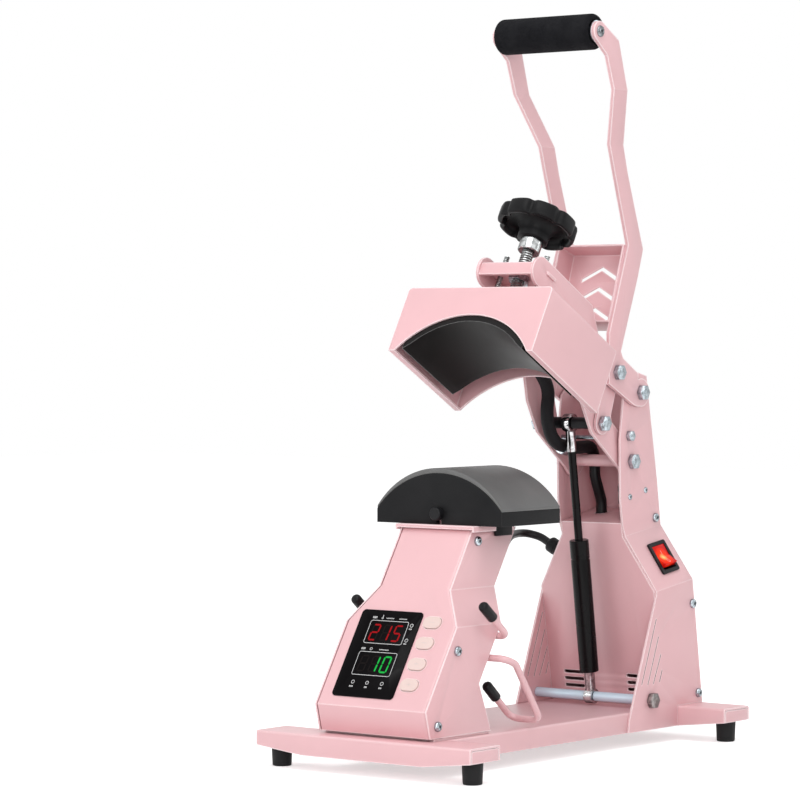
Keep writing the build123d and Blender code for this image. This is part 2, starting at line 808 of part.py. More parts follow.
def on_front_corner(edge):
    """True for an edge that runs up the front face's right or left side."""
    middle = edge.position_at(0.5)
    start = edge.position_at(0.0)
    end = edge.position_at(1.0)
    on_face = abs(middle.Y - max(front_y(middle.Z), toe_y(middle.Z))) < fit_gap
    return on_face and abs(end.Z - start.Z) > box_sheet


def toe_y(z):
    """Y of the box's lower front face, below its bend."""
    share = (box_bend[1] - z) / (box_bend[1] - box_bottom)
    return box_bend[0] + share * (box_toe_y - box_bend[0])


def box_body():
    """The box's sides, rear panel and floor, bent from one sheet."""
    slope = box_sheet / math.cos(math.radians(box_lean))
    sides = side_space(0, 0) & (box_space(0) - box_space(box_sheet))
    rear = (side_space(0, 0) - side_space(0, slope)) & box_space(0)
    floor_half = box_lower_half - box_sheet
    y_from = box_bend[0] + flange_depth
    floor = block(-floor_half, floor_half, y_from, box_heel_y - box_sheet, deck_height,
                  deck_height + floor_sheet)
    flange = block(floor_half - floor_sheet, floor_half, y_from + flange_depth, box_heel_y - flange_depth,
                   deck_height, box_bottom + flange_depth)
    body = sides + rear + floor + flange + mirrored(flange)
    hole = rear_plane(cable_exit[1]) * Cylinder(cable_diameter / 2 + fit_gap, flange_depth)
    body = body - Pos(cable_exit[0], 0, 0) * hole
    return body - screw_bores(box_screw_sites, 1) - screw_bores(box_screw_sites, -1)


def display_panel():
    """The glossy display plate on the front cover, with two sunk windows."""
    width = display_right - display_left
    height = display_to - display_from
    centre = Pos((display_left + display_right) / 2, (display_from + display_to) / 2)
    panel = extrude(centre * RectangleRounded(width, height, display_corner), amount=display_thickness)
    for low, high in (upper_window, lower_window):
        place = Pos((window_left + window_right) / 2, (low + high) / 2, display_thickness)
        panel = panel - place * Box(window_right - window_left, high - low, 2 * window_depth)
    return front_plane() * panel


def button(s):
    """One key: a cap through the cover, a lip behind it and a stem towards the board."""
    cap = Pos(0, 0, -box_sheet) * SlotOverall(button_length, button_width)
    cap = extrude(cap, amount=box_sheet + button_proud)
    cap = fillet(cap.edges().group_by(Axis.Z)[-1], button_proud / 3)
    lip = SlotOverall(button_length + 2 * button_lip, button_width + 2 * button_lip)
    lip_top = -box_sheet - running_gap
    lip = extrude(Pos(0, 0, lip_top - button_lip_thickness) * lip, amount=button_lip_thickness + running_gap)
    stem_length = board_behind + lip_top - button_travel - 2 * fit_gap
    stem = Pos(0, 0, lip_top - stem_length / 2) * Cylinder(button_stem / 2, stem_length)
    return front_plane() * Pos(button_x, s, 0) * (cap + lip + stem)


def controller_board():
    """The board behind the front cover: standoffs, a relay and a transformer."""
    height = board_to - board_from
    middle = (board_from + board_to) / 2
    board = Pos(0, middle, -board_behind - board_thickness / 2)
    board = board * Box(2 * board_half_width, height, board_thickness)
    reach = board_behind - box_sheet
    between_keys = (button_heights[0] + button_heights[1]) / 2
    for x in (-1, 1):
        for y in (board_from + standoff_diameter, between_keys):
            place = Pos(x * (board_half_width - standoff_diameter / 2), y, -box_sheet - reach / 2)
            board = board + place * Cylinder(standoff_diameter / 2, reach)
    for x in (-1, 1):
        depth = relay_size[2]
        place = Pos(x * relay_size[0] * relay_spread, middle, -board_behind - board_thickness - depth / 2)
        board = board + place * Box(*relay_size)
    return front_plane() * board


def tab_space(gap):
    """The room of the platen's right hand tab in the seat's edge, with a gap all round."""
    return block(seat_half_width - tab_sheet - gap, seat_half_width + sheet, tab_front - gap,
                 tab_front + tab_run + gap, box_top - 2 * tab_drop, seat_top + fit_gap)


def platen_seat():
    """The plate on the box's top that carries the platen, with side flanges and a lug for the knob."""
    y_to = seat_front + seat_length
    seat = block(-seat_half_width, seat_half_width, seat_front, y_to, box_top, seat_top)
    inner = seat_half_width - seat_flange_sheet
    flange = block(inner, seat_half_width, seat_front, y_to, box_top - seat_flange_depth, box_top)
    seat = seat + flange + mirrored(flange)
    seat = seat - tab_space(2 * fit_gap) - mirrored(tab_space(2 * fit_gap))
    lug_y = platen_front + platen_wall + fit_gap
    lug = block(-lug_width / 2, lug_width / 2, lug_y, lug_y + seat_thickness, seat_top, seat_top + lug_height)
    bore = rod_y(0, seat_top + platen_knob_height, platen_knob_shank + 2 * running_gap,
                 lug_y - fit_gap, lug_y + 2 * seat_thickness)
    return seat + lug - bore


# ---- lower platen -----------------------------------------------------------------------------
def platen_shape(radius, centre_z, bottom, inset):
    """A block as wide as the platen with a round top."""
    half = platen_half_width - inset
    tall = block(-half, half, platen_front + inset, platen_front + platen_length - inset, bottom,
                 centre_z + radius)
    drum = rod_y(0, centre_z, 2 * (radius - inset), platen_front - platen_wall,
                 platen_front + platen_length + platen_wall)
    return tall & drum


def platen_base():
    """The cast lower platen, hollow underneath, with the knob's notch in its front wall."""
    core = platen_shape(platen_core_radius, core_centre_z, seat_top, 0)
    hollow = platen_shape(platen_core_radius, core_centre_z, seat_top - platen_wall, platen_wall)
    notch_half = platen_knob_shank / 2 + 5 * fit_gap
    knob_z = seat_top + platen_knob_height
    notch = block(-notch_half, notch_half, platen_front - platen_wall, platen_front + 2 * platen_wall,
                  seat_top - platen_wall, knob_z)
    notch = notch + rod_y(0, knob_z, 2 * notch_half, platen_front - platen_wall,
                          platen_front + 2 * platen_wall)
    tab = block(seat_half_width - tab_sheet, seat_half_width, tab_front, tab_front + tab_run,
                seat_top - tab_drop, core_centre_z + platen_core_radius)
    tab = tab & platen_shape(platen_core_radius, core_centre_z, seat_top - tab_drop, 0)
    return core - hollow - notch + tab + mirrored(tab)


def silicone_pad():
    """The grey pad on the platen's round top."""
    outer = platen_shape(pad_radius, pad_centre_z, seat_top, 0)
    drum = rod_y(0, core_centre_z, 2 * platen_core_radius, platen_front - platen_wall,
                 platen_front + platen_length + platen_wall)
    return outer - drum


def platen_knob():
    """The small knob whose screw locks the platen to its seat."""
    z = seat_top + platen_knob_height
    y_to = platen_front - fit_gap
    knob = rod_y(0, z, platen_knob_diameter, y_to - platen_knob_length, y_to)
    knob = chamfer(knob.edges().group_by(Axis.Y)[0], fit_gap * 10)
    shank = rod_y(0, z, platen_knob_shank, y_to, platen_front + platen_wall + fit_gap + 2 * seat_thickness)
    return knob + shank


# ---- arm --------------------------------------------------------------------------------------
def arm(side):
    """One arm plate, from the arm's pivot to its nose."""
    solid = plate(arm_outline, arm_inner, arm_outer)
    solid = solid + rod_x(arm_nose, 2 * arm_nose_radius, arm_inner, arm_outer)
    solid = solid + rod_x(arm_pivot, 2 * arm_end_radius, arm_inner, arm_outer)
    bolt = pivot_bolt_diameter + 2 * running_gap
    solid = solid - rod_x(arm_pivot, bolt, 0, base_width)
    solid = solid - rod_x(closed_point(eye_pivot), pivot_bolt_diameter, 0, base_width)
    slot = block(0, base_width, tab_from, tab_from + tab_length, cross_plate_z, cross_plate_z + arm_sheet)
    solid = solid - slot
    return opened(solid if side > 0 else mirrored(solid))


def arm_cross_plate():
    """The bridge between the arms, with a front flange and tabs through the arms."""
    top = cross_plate_z + arm_sheet
    bridge = block(-arm_inner, arm_inner, cross_plate_front, cross_plate_rear, cross_plate_z, top)
    flange = block(-arm_inner, arm_inner, cross_plate_front, cross_plate_front + arm_sheet,
                   cross_plate_z - cross_plate_flange + arm_sheet, top)
    reach = arm_outer + tab_reach
    tabs = block(-reach, reach, tab_from, tab_from + tab_length, cross_plate_z, top)
    solid = bridge + flange + tabs
    solid = solid - rod_z(0, screw_y, screw_diameter + 10 * fit_gap, cross_plate_z - sheet, top + sheet)
    for x in (-guide_x, guide_x):
        bore = guide_diameter + 2 * running_gap
        solid = solid - rod_z(x, guide_y, bore, cross_plate_z - sheet, top + sheet)
    return opened(solid)


def lift_nut():
    """The nut under the bridge that the pressure screw runs in."""
    nut = hexagon_z(0, screw_y, nut_across, cross_plate_z - nut_height, cross_plate_z)
    bore = rod_z(0, screw_y, screw_diameter + 2 * running_gap, cross_plate_z - 2 * nut_height,
                 cross_plate_z + nut_height)
    return opened(nut - bore)


def arm_tube():
    """The tube between the arms on their pivot."""
    tube = rod_x(arm_pivot, pivot_tube_diameter, -arm_inner, arm_inner)
    return tube - rod_x(arm_pivot, pivot_bolt_diameter + 2 * running_gap, -arm_outer, arm_outer)


def eye_spacers():
    """The two black spacers that hold the gas spring's eye between the arms."""
    near = gas_x + gas_eye_width / 2 + link_gap
    far = gas_x - gas_eye_width / 2 - link_gap
    bore = rod_x(eye_pivot, pivot_bolt_diameter, -arm_outer, arm_outer)
    right = rod_x(eye_pivot, spacer_diameter, near, arm_inner) - bore
    left = rod_x(eye_pivot, spacer_diameter, -arm_inner, far) - bore
    return group([right, left])


def long_bolt(place, diameter, across, half):
    """A bolt right across the machine, with its nut."""
    bolt = rod_x(place, diameter, -half - hex_height, half)
    bolt = bolt + hexagon_x(place, across, half, half + hex_height)
    nut = hexagon_x(place, across, -half - hex_height, -half)
    nut = nut - rod_x(place, diameter, -half - 2 * hex_height, half)
    return [bolt, nut]


def pivot_bolt_c():
    """The bolt through the arms, the links and the gas spring's eye."""
    return group(long_bolt(eye_pivot, pivot_bolt_diameter, hex_across, link_outer + link_gap))


def frame_bolts():
    """The arm's pivot bolt, the gas spring's foot bolt and the two stops for the open arm."""
    bolts = long_bolt(arm_pivot, pivot_bolt_diameter, hex_across, column_upper_half)
    bolts = bolts + long_bolt(gas_foot_pivot, foot_bolt_diameter, hex_across, column_lower_half)
    stop = rod_x(stop_bolt, stop_bolt_diameter, arm_inner, column_upper_half)
    stop = stop + hexagon_x(stop_bolt, 2 * stop_bolt_diameter, column_upper_half,
                            column_upper_half + stop_bolt_diameter)
    return group(bolts + both_sides(stop))


def column_tube():
    """The two sleeves on the foot bolt, one on each side of the gas spring's foot."""
    near = gas_x + gas_eye_width / 2 + link_gap
    far = gas_x - gas_eye_width / 2 - link_gap
    bore = rod_x(gas_foot_pivot, foot_bolt_diameter, -base_width, base_width)
    right = rod_x(gas_foot_pivot, foot_tube_diameter, near, column_lower_inner) - bore
    left = rod_x(gas_foot_pivot, foot_tube_diameter, -column_lower_inner, far) - bore
    return group([right, left])


def sleeve_arc(angle_from, angle_to):
    """An arc about the arm's pivot, from one angle above the horizontal to another."""
    plane = Plane(origin=(sleeve_x, *arm_pivot), x_dir=(0, 1, 0), z_dir=(1, 0, 0))
    return plane * CenterArc((0, 0), sleeve_arc_radius, angle_from, angle_to - angle_from)


def harness_sleeve():
    """The sleeve that carries the head's wiring along the arm; its lower end turns over the bundle."""
    arc = sleeve_arc(sleeve_start_angle, 90.0)
    top = (arm_pivot[0], arm_pivot[1] + sleeve_arc_radius)
    end = opened_point((head_front + head_depth + sleeve_end_gap, sleeve_end[1]))
    points = [(sleeve_x, *each) for each in [top] + sleeve_points + [end]]
    radii = corner_radii(points)
    run = FilletPolyline(*points, radius=radii)
    print("harness_sleeve radii", [round(each, 1) for each in radii])
    tube = swept(arc, sleeve_diameter) + swept(run, sleeve_diameter)
    bore = swept(sleeve_arc(sleeve_start_angle - sleeve_bore_lead_angle, 90.0), sleeve_bore)
    straight = Line(points[0], Vector(*points[0]) + (run % 0) * sleeve_diameter)
    return tube - bore - swept(straight, sleeve_bore)


def harness_bundle():
    """The fixed bundle from the column's shelf, forwards behind the pivot tube and into the sleeve."""
    y = arm_pivot[0] + sleeve_arc_radius
    lower, upper = bundle_knees
    points = [(sleeve_x, y + bundle_shift, front_panel_top[1] - 2 * bundle_diameter),
              (sleeve_x, y + bundle_shift, lower), (sleeve_x, y, upper), (sleeve_x, y, arm_pivot[1])]
    rise = FilletPolyline(*points, radius=bundle_knee_radius)
    path = Wire(rise.edges() + sleeve_arc(0.0, bundle_end_angle).edges())
    return swept(path, bundle_diameter)


# ---- links and handle -------------------------------------------------------------------------
def link(side):
    """One link from the gas spring's bolt up to the handle."""
    bar = rod_x(link_pivot, 2 * link_end_radius, link_inner, link_outer)
    bar = bar + rod_x(eye_pivot, 2 * link_end_radius, link_inner, link_outer)
    length = math.dist(link_pivot, eye_pivot)
    across_y = (link_pivot[1] - eye_pivot[1]) / length * link_end_radius
    across_z = (link_pivot[0] - eye_pivot[0]) / length * link_end_radius
    web = [(link_pivot[0] + across_y, link_pivot[1] - across_z),
           (link_pivot[0] - across_y, link_pivot[1] + across_z),
           (eye_pivot[0] - across_y, eye_pivot[1] + across_z),
           (eye_pivot[0] + across_y, eye_pivot[1] - across_z)]
    bar = bar + plate(web, link_inner, link_outer)
    bar = bar - rod_x(eye_pivot, pivot_bolt_diameter + 2 * running_gap, 0, base_width)
    bar = bar - rod_x(link_pivot, pivot_bolt_diameter + 2 * open_pivot_gap, 0, base_width)
    return bar if side > 0 else mirrored(bar)


def handle_bar(side):
    """One bar of the handle: a foot plate with two bosses, a bent bar and a cranked top."""
    outline = handle_rear + handle_front
    step = handle_upper_inner - handle_inner
    low = -base_rear
    high = 2 * base_rear
    section = [(handle_inner, low), (handle_outer, low), (handle_outer, crank_from_z),
               (handle_outer + step, crank_to_z), (handle_outer + step, high),
               (handle_inner + step, high), (handle_inner + step, crank_to_z),
               (handle_inner, crank_from_z)]
    x_to = handle_outer + step
    solid = plate(outline, 0, x_to)
    for place, radius in ((handle_pivot, handle_boss_radius), (link_pivot, handle_boss_radius),
                          (grip_centre, grip_end_radius)):
        solid = solid + rod_x(place, 2 * radius, 0, x_to)
    solid = solid & span(section, 0, base_rear)
    for place in (handle_pivot, link_pivot):
        solid = solid - rod_x(place, pivot_bolt_diameter, 0, base_width)
    solid = solid - rod_x(grip_centre, small_screw_diameter, 0, base_width)
    return solid if side > 0 else mirrored(solid)


def tray_plane():
    """The plane of the tray's back, from its lower edge, facing forwards."""
    lean = math.radians(tray_lean)
    return Plane(origin=(0, *tray_foot), x_dir=(1, 0, 0), z_dir=(0, -math.cos(lean), math.sin(lean)))


def handle_tray():
    """The tray between the handle's bars, with three chevron slots."""
    width = 2 * handle_inner
    shell = Pos(0, tray_height / 2, tray_depth / 2) * Box(width, tray_height, tray_depth)
    room = Pos(0, tray_height / 2, tray_depth / 2 + sheet)
    shell = shell - room * Box(width - 2 * sheet, tray_height - 2 * sheet, tray_depth)
    for peak in chevron_heights:
        outline = [(0, peak + chevron_band / 2), (chevron_half_width, peak - chevron_drop),
                   (chevron_half_width, peak - chevron_drop - chevron_band),
                   (0, peak - chevron_band / 2),
                   (-chevron_half_width, peak - chevron_drop - chevron_band),
                   (-chevron_half_width, peak - chevron_drop)]
        cut = Pos(0, 0, -sheet) * make_face(Polyline(*outline, close=True))
        shell = shell - extrude(cut, amount=3 * sheet)
    return tray_plane() * shell


def grip_tube():
    """The steel tube inside the foam grip."""
    tube = rod_x(grip_centre, grip_tube_diameter, -handle_upper_inner, handle_upper_inner)
    return tube - rod_x(grip_centre, small_screw_diameter, -base_width, base_width)


def foam_grip():
    """The foam sleeve on the grip tube."""
    half = handle_upper_inner - grip_end_gap
    foam = rod_x(grip_centre, grip_diameter, -half, half)
    foam = fillet(foam.edges(), grip_rounding)
    return foam - rod_x(grip_centre, grip_tube_diameter, -base_width, base_width)


def grip_screws():
    """The two screws that hold the grip tube between the bars."""
    outer = handle_upper_inner + handle_sheet
    head = rod_x(grip_centre, 3 * small_screw_diameter, outer, outer + small_head_height)
    head = fillet(head.edges().group_by(Axis.X)[-1], small_head_height / 2)
    shank = rod_x(grip_centre, small_screw_diameter, outer - 5 * small_screw_diameter, outer)
    return group(both_sides(head + shank))


def handle_pivot_bolts():
    """The short bolts of the handle: two in the column and two through the links."""
    pieces = []
    for place, inner, washer_from in ((handle_pivot, column_upper_inner, column_upper_half),
                                      (link_pivot, link_inner, link_outer)):
        seat = inner - 2 * fit_gap
        bolt = rod_x(place, pivot_bolt_diameter, seat - hex_height, handle_outer)
        bolt = bolt + hexagon_x(place, hex_across, handle_outer, handle_outer + hex_height)
        bore = rod_x(place, pivot_bolt_diameter, 0, base_width)
        nut = hexagon_x(place, hex_across - sheet, seat - hex_height + sheet, seat) - bore
        washer = rod_x(place, 2 * pivot_bolt_diameter, washer_from + fit_gap, handle_inner) - bore
        for piece in (bolt, nut, washer):
            pieces = pieces + both_sides(piece)
    return group(pieces)


# ---- head -------------------------------------------------------------------------------------
def head_cover():
    """The head's cover: open underneath, with arched front and rear faces."""
    y_to = head_front + head_depth
    outer = block(-head_half_width, head_half_width, head_front, y_to, head_bottom, head_top)
    outer = fillet(outer.edges().filter_by(Axis.Y).group_by(Axis.Z)[-1], head_corner)
    room = block(sheet - head_half_width, head_half_width - sheet, head_front + sheet, y_to - sheet,
                 head_bottom - sheet, head_top - sheet)
    arch = rod_y(0, arch_centre_z, 2 * arch_radius, head_front - sheet, y_to + sheet)
    hem = block(head_half_width - sheet - hem_width, head_half_width - sheet, head_front + sheet,
                y_to - sheet, head_bottom, head_bottom + sheet)
    cover = outer - room + hem + mirrored(hem) - arch
    cover = cover - rod_z(0, screw_y, journal_diameter + 2 * running_gap, head_bottom, head_top + sheet)
    for x in (-guide_x, guide_x):
        cover = cover - rod_z(x, guide_y, guide_diameter, head_bottom, head_top + sheet)
    return opened(cover)


def guide_foot_z():
    """The height of the guide rods' lower ends, inside the heating plate."""
    rise = math.sqrt((plate_radius + plate_thickness) ** 2 - guide_x ** 2)
    return arch_centre_z + rise - guide_seat_depth


def heating_plate():
    """The curved cast plate with the heating element, hung from the cover by the guide rods."""
    y_from = head_front + sheet + fit_gap
    y_to = y_from + plate_length
    ring = rod_y(0, arch_centre_z, 2 * (plate_radius + plate_thickness), y_from, y_to)
    ring = ring - rod_y(0, arch_centre_z, 2 * plate_radius, y_from - sheet, y_to + sheet)
    solid = ring & block(-plate_half_width, plate_half_width, y_from, y_to, arch_centre_z, head_top)
    for x in (-guide_x, guide_x):
        solid = solid - rod_z(x, guide_y, guide_diameter, guide_foot_z(), head_top)
    return opened(solid)


def guide_rods():
    """The two rods that keep the head from turning, with the nuts that clamp the cover."""
    rods = []
    for x in (-guide_x, guide_x):
        rod = rod_z(x, guide_y, guide_diameter, guide_foot_z(), guide_top)
        rod = rod + hexagon_z(x, guide_y, guide_nut_across, head_top, head_top + guide_nut_height)
        rod = rod + hexagon_z(x, guide_y, guide_nut_across, head_top - sheet - guide_nut_height,
                              head_top - sheet)
        rods.append(opened(rod))
    return group(rods)


def pressure_screw():
    """The pressure screw: its foot turns in the cover's top and a collar holds the knob."""
    shoulder = head_top + fit_gap
    under = head_top - sheet - fit_gap
    screw = rod_z(0, screw_y, screw_diameter, shoulder, screw_top)
    screw = screw + rod_z(0, screw_y, journal_diameter, under, shoulder)
    screw = screw + rod_z(0, screw_y, journal_cap_diameter, under - journal_cap_height, under)
    screw = screw + rod_z(0, screw_y, journal_cap_diameter, shoulder, shoulder + sheet)
    collar = rod_z(0, screw_y, collar_diameter, collar_bottom, collar_bottom + collar_height)
    return opened(screw + chamfer(collar.edges(), fit_gap * 10))


def knob():
    """The scalloped pressure knob with its hub."""
    hub_bottom = collar_bottom + collar_height
    hub = rod_z(0, screw_y, knob_hub_diameter, hub_bottom, knob_bottom + sheet)
    disc = rod_z(0, screw_y, knob_diameter, knob_bottom, knob_bottom + knob_height)
    reach = knob_diameter / 2 + knob_scallop_radius - knob_scallop_depth
    for turn in range(knob_scallops):
        angle = 2 * math.pi * turn / knob_scallops
        x = reach * math.cos(angle)
        y = screw_y + reach * math.sin(angle)
        cut = rod_z(x, y, 2 * knob_scallop_radius, knob_bottom - sheet, knob_bottom + 2 * knob_height)
        disc = disc - cut
    disc = fillet(disc.edges().filter_by(GeomType.LINE, reverse=True), sheet)
    bore = rod_z(0, screw_y, screw_diameter, hub_bottom - sheet, screw_top)
    return opened(hub + disc - bore)


# ---- gas spring -------------------------------------------------------------------------------
def gas_plane():
    """The plane square to the gas spring at its foot pivot, facing up along it."""
    along = Vector(0, eye_pivot[0] - gas_foot_pivot[0], eye_pivot[1] - gas_foot_pivot[1])
    return Plane(origin=(gas_x, *gas_foot_pivot), x_dir=(1, 0, 0), z_dir=along)


def gas_cylinder():
    """The pressure tube with its foot eye, hollow for the piston."""
    length = gas_tube_to - gas_tube_from
    body = Pos(0, 0, gas_tube_from + length / 2) * Cylinder(gas_tube_diameter / 2, length)
    body = fillet(body.edges(), gas_tube_wall / 2)
    room_length = length - 4 * gas_tube_wall
    room = Pos(0, 0, gas_tube_from + length / 2)
    body = body - room * Cylinder(gas_tube_diameter / 2 - gas_tube_wall, room_length)
    groove = Cylinder(gas_tube_diameter, gas_tube_wall)
    groove = groove - Cylinder(gas_tube_diameter / 2 - gas_tube_wall / 3, gas_tube_wall)
    body = body - Pos(0, 0, gas_groove_at) * groove
    body = body - Pos(0, 0, gas_tube_to) * Cylinder(gas_rod_diameter / 2 + running_gap, length / 2)
    neck = Pos(0, 0, gas_tube_from / 2) * Cylinder(gas_neck_diameter / 2, gas_tube_from)
    foot = gas_plane() * (body + neck)
    x_from = gas_x - gas_eye_width / 2
    x_to = gas_x + gas_eye_width / 2
    foot = foot + rod_x(gas_foot_pivot, 2 * gas_foot_radius, x_from, x_to)
    return foot - rod_x(gas_foot_pivot, foot_bolt_diameter + 2 * running_gap, -base_width, base_width)


def gas_rod():
    """The piston rod with its piston and the eye between the arms."""
    length = gas_rod_to - gas_rod_inner_end
    rod = Pos(0, 0, gas_rod_inner_end + length / 2) * Cylinder(gas_rod_diameter / 2, length)
    piston = Cylinder(gas_tube_diameter / 2 - gas_tube_wall - 3 * fit_gap, gas_piston_height)
    neck_length = gas_length - gas_rod_to
    neck = Pos(0, 0, gas_rod_to + neck_length / 2) * Cylinder(gas_neck_diameter / 2, neck_length)
    solid = gas_plane() * (rod + Pos(0, 0, gas_rod_inner_end) * piston + neck)
    x_from = gas_x - gas_eye_width / 2
    x_to = gas_x + gas_eye_width / 2
    solid = solid + rod_x(eye_pivot, 2 * gas_eye_radius, x_from, x_to)
    return solid - rod_x(eye_pivot, pivot_bolt_diameter + 2 * open_pivot_gap, -base_width, base_width)


# ---- cap tension wires ------------------------------------------------------------------------
def wire(points):
    """A bent wire through points given for the right side, from its tip to the middle."""
    left = [(-x, y, z) for x, y, z in points]
    path = FilletPolyline(*points, *left[::-1], radius=wire_bend)
    return swept(path, wire_diameter)


def upper_wire_points():
    """The upper wire's corners on the right, from its tip."""
    return [(upper_wire_half, *upper_wire_tip), (upper_wire_half, *upper_wire_pivot)]


def lower_wire_points():
    """The lower wire's corners on the right, from its tip."""
    half = lower_wire_half
    return [(lower_tip_x, *lower_wire_tip), (lower_tip_x, *lower_wire_corner),
            (half, *lower_wire_corner), (half, *lower_wire_knee), (half, *lower_wire_pivot)]


def wire_tips(points, bent):
    """The two rubber caps on a wire's tips."""
    tip = Vector(*points[0])
    outward = (tip - Vector(*points[1])).normalized()
    start = tip - outward * cap_cover
    cap = Pos(0, 0, cap_length / 2) * Cylinder(cap_diameter / 2, cap_length)
    cap = fillet(cap.edges().group_by(Axis.Z)[-1], cap_diameter / 2 - fit_gap * 10)
    cap = Plane(origin=start, z_dir=outward) * cap - bent
    return group(both_sides(cap))


def wire_clip(pivot):
    """A saddle on the box's rear panel that a wire turns in."""
    lean = math.radians(box_lean)
    foot_z = pivot[1] + (pivot[0] - rear_panel_y(pivot[1])) * math.sin(lean) * math.cos(lean)
    plane = rear_plane(foot_z)
    height = math.dist(pivot, (rear_panel_y(foot_z), foot_z))
    radius = wire_diameter / 2 + running_gap + clip_wall
    foot = Pos(0, 0, clip_wall / 2) * Box(clip_width, 2 * (radius + clip_ear), clip_wall)
    bridge = Pos(0, 0, height / 2) * Box(clip_width, 2 * radius, height)
    crown = Pos(0, 0, height) * Rot(0, 90, 0) * Cylinder(radius, clip_width)
    solid = foot + (bridge + crown & Pos(0, 0, height) * Box(clip_width, 4 * radius, 2 * height))
    bore = Pos(0, 0, height) * Rot(0, 90, 0) * Cylinder(wire_diameter / 2 + running_gap, 2 * clip_width)
    return Pos(clip_x, 0, 0) * (plane * (solid - bore))


def wire_clips():
    """Four saddles, two for each wire."""
    return group(both_sides(wire_clip(upper_wire_pivot)) + both_sides(wire_clip(lower_wire_pivot)))


# ---- fasteners --------------------------------------------------------------------------------
def small_screw(y, z, half):
    """A pan head screw on the right side."""
    head = rod_x((y, z), small_head_diameter, half, half + small_head_height)
    head = fillet(head.edges().group_by(Axis.X)[-1], small_head_height / 2)
    return head + rod_x((y, z), small_screw_diameter, half - small_screw_length, half)


def cover_screws():
    """The pan head screws of the column and of the box."""
    screws = []
    for site in column_screw_sites + box_screw_sites:
        screws = screws + both_sides(small_screw(*site))
    for site in switch_screw_sites:
        screws.append(small_screw(*site))
    return group(screws)


# ---- nodes ------------------------------------------------------------------------------------
def build_nodes():
    """Every node of the press by its name, before the move to the origin."""
    upper = wire(upper_wire_points())
    lower = wire(lower_wire_points())
    nodes = {
        "front_crossbar": crossbar(base_front),
        "rear_crossbar": crossbar(base_rear - crossbar_depth),
        "base_beam": base_beam(),
        "rubber_feet": rubber_feet(),
        "column_left": column_plate(-1),
        "column_right": column_plate(1),
        "column_front_panel": column_front_panel(),
        "column_back_cover": column_back_cover(),
        "inlet_socket": inlet_socket(),
        "rocker_bezel": rocker_bezel(),
        "rocker": rocker(),
        "cable_gland": cable_gland(),
        "link_cable": link_cable(),
        "limit_switch": limit_switch(),
        "cover_screws": cover_screws(),
        "box_front_cover": box_front_cover(),
        "box_body": box_body(),
        "display_panel": display_panel(),
        "controller_board": controller_board(),
        "platen_seat": platen_seat(),
        "platen_base": platen_base(),
        "silicone_pad": silicone_pad(),
        "platen_knob": platen_knob(),
        "arm_left": arm(-1),
        "arm_right": arm(1),
        "arm_cross_plate": arm_cross_plate(),
        "lift_nut": lift_nut(),
        "arm_tube": arm_tube(),
        "eye_spacers": eye_spacers(),
        "eye_bolt": pivot_bolt_c(),
        "frame_bolts": frame_bolts(),
        "foot_tubes": column_tube(),
        "harness_sleeve": harness_sleeve(),
        "harness_bundle": harness_bundle(),
        "link_left": link(-1),
        "link_right": link(1),
        "handle_left": handle_bar(-1),
        "handle_right": handle_bar(1),
        "handle_tray": handle_tray(),
        "grip_tube": grip_tube(),
        "foam_grip": foam_grip(),
        "grip_screws": grip_screws(),
        "handle_bolts": handle_pivot_bolts(),
        "head_cover": head_cover(),
        "heating_plate": heating_plate(),
        "guide_rods": guide_rods(),
        "pressure_screw": pressure_screw(),
        "pressure_knob": knob(),
        "gas_cylinder": gas_cylinder(),
        "gas_rod": gas_rod(),
        "upper_wire": upper,
        "lower_wire": lower,
        "upper_wire_tips": wire_tips(upper_wire_points(), upper),
        "lower_wire_tips": wire_tips(lower_wire_points(), lower),
        "wire_clips": wire_clips(),
    }
    for index, s in enumerate(button_heights, start=1):
        nodes[f"button_{index}"] = button(s)
    return nodes


os.makedirs("parts", exist_ok=True)
for name, solid in build_nodes().items():
    export_step(Pos(0, -(base_front + base_rear) / 2, 0) * solid, f"parts/{name}.step")
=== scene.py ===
import bpy
import bmesh
import json
import math
from mathutils import Matrix, Vector
from mathutils.bvhtree import BVHTree
from mathutils.geometry import intersect_point_line

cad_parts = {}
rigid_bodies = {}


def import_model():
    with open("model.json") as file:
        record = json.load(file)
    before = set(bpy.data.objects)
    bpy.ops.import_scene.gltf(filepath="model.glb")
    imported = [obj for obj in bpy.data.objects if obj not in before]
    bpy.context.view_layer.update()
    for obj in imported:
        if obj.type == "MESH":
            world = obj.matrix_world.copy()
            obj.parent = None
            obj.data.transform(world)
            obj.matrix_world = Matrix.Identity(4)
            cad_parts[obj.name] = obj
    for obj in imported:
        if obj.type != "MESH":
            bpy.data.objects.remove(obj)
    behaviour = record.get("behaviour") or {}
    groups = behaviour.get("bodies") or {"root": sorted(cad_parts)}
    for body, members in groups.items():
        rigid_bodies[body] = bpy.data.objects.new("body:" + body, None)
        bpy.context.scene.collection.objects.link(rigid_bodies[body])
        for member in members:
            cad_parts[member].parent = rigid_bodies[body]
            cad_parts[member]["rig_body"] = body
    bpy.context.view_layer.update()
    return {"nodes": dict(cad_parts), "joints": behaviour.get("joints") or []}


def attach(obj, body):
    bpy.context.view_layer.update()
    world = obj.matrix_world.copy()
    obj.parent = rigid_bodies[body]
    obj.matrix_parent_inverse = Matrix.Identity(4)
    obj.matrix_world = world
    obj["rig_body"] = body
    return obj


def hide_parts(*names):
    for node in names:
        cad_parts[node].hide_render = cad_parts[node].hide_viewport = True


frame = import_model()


# ---- base: two crossbars and the beam between them -----------
# Open channels folded from 2 mm sheet steel, their ends closed with welded plates, and a wider channel
# that joins them.  The welded frame is powder coated in a satin pink.
PINK = (0.775, 0.465, 0.490)
# the pale pink painted as a highlight along the powder coat's edges
PINK_PAINTED_HIGHLIGHT = (1.000, 0.860, 0.870)
# a deep red-brown painted as shade in seams and inner corners
PINK_PAINTED_SHADE = (0.300, 0.085, 0.100)
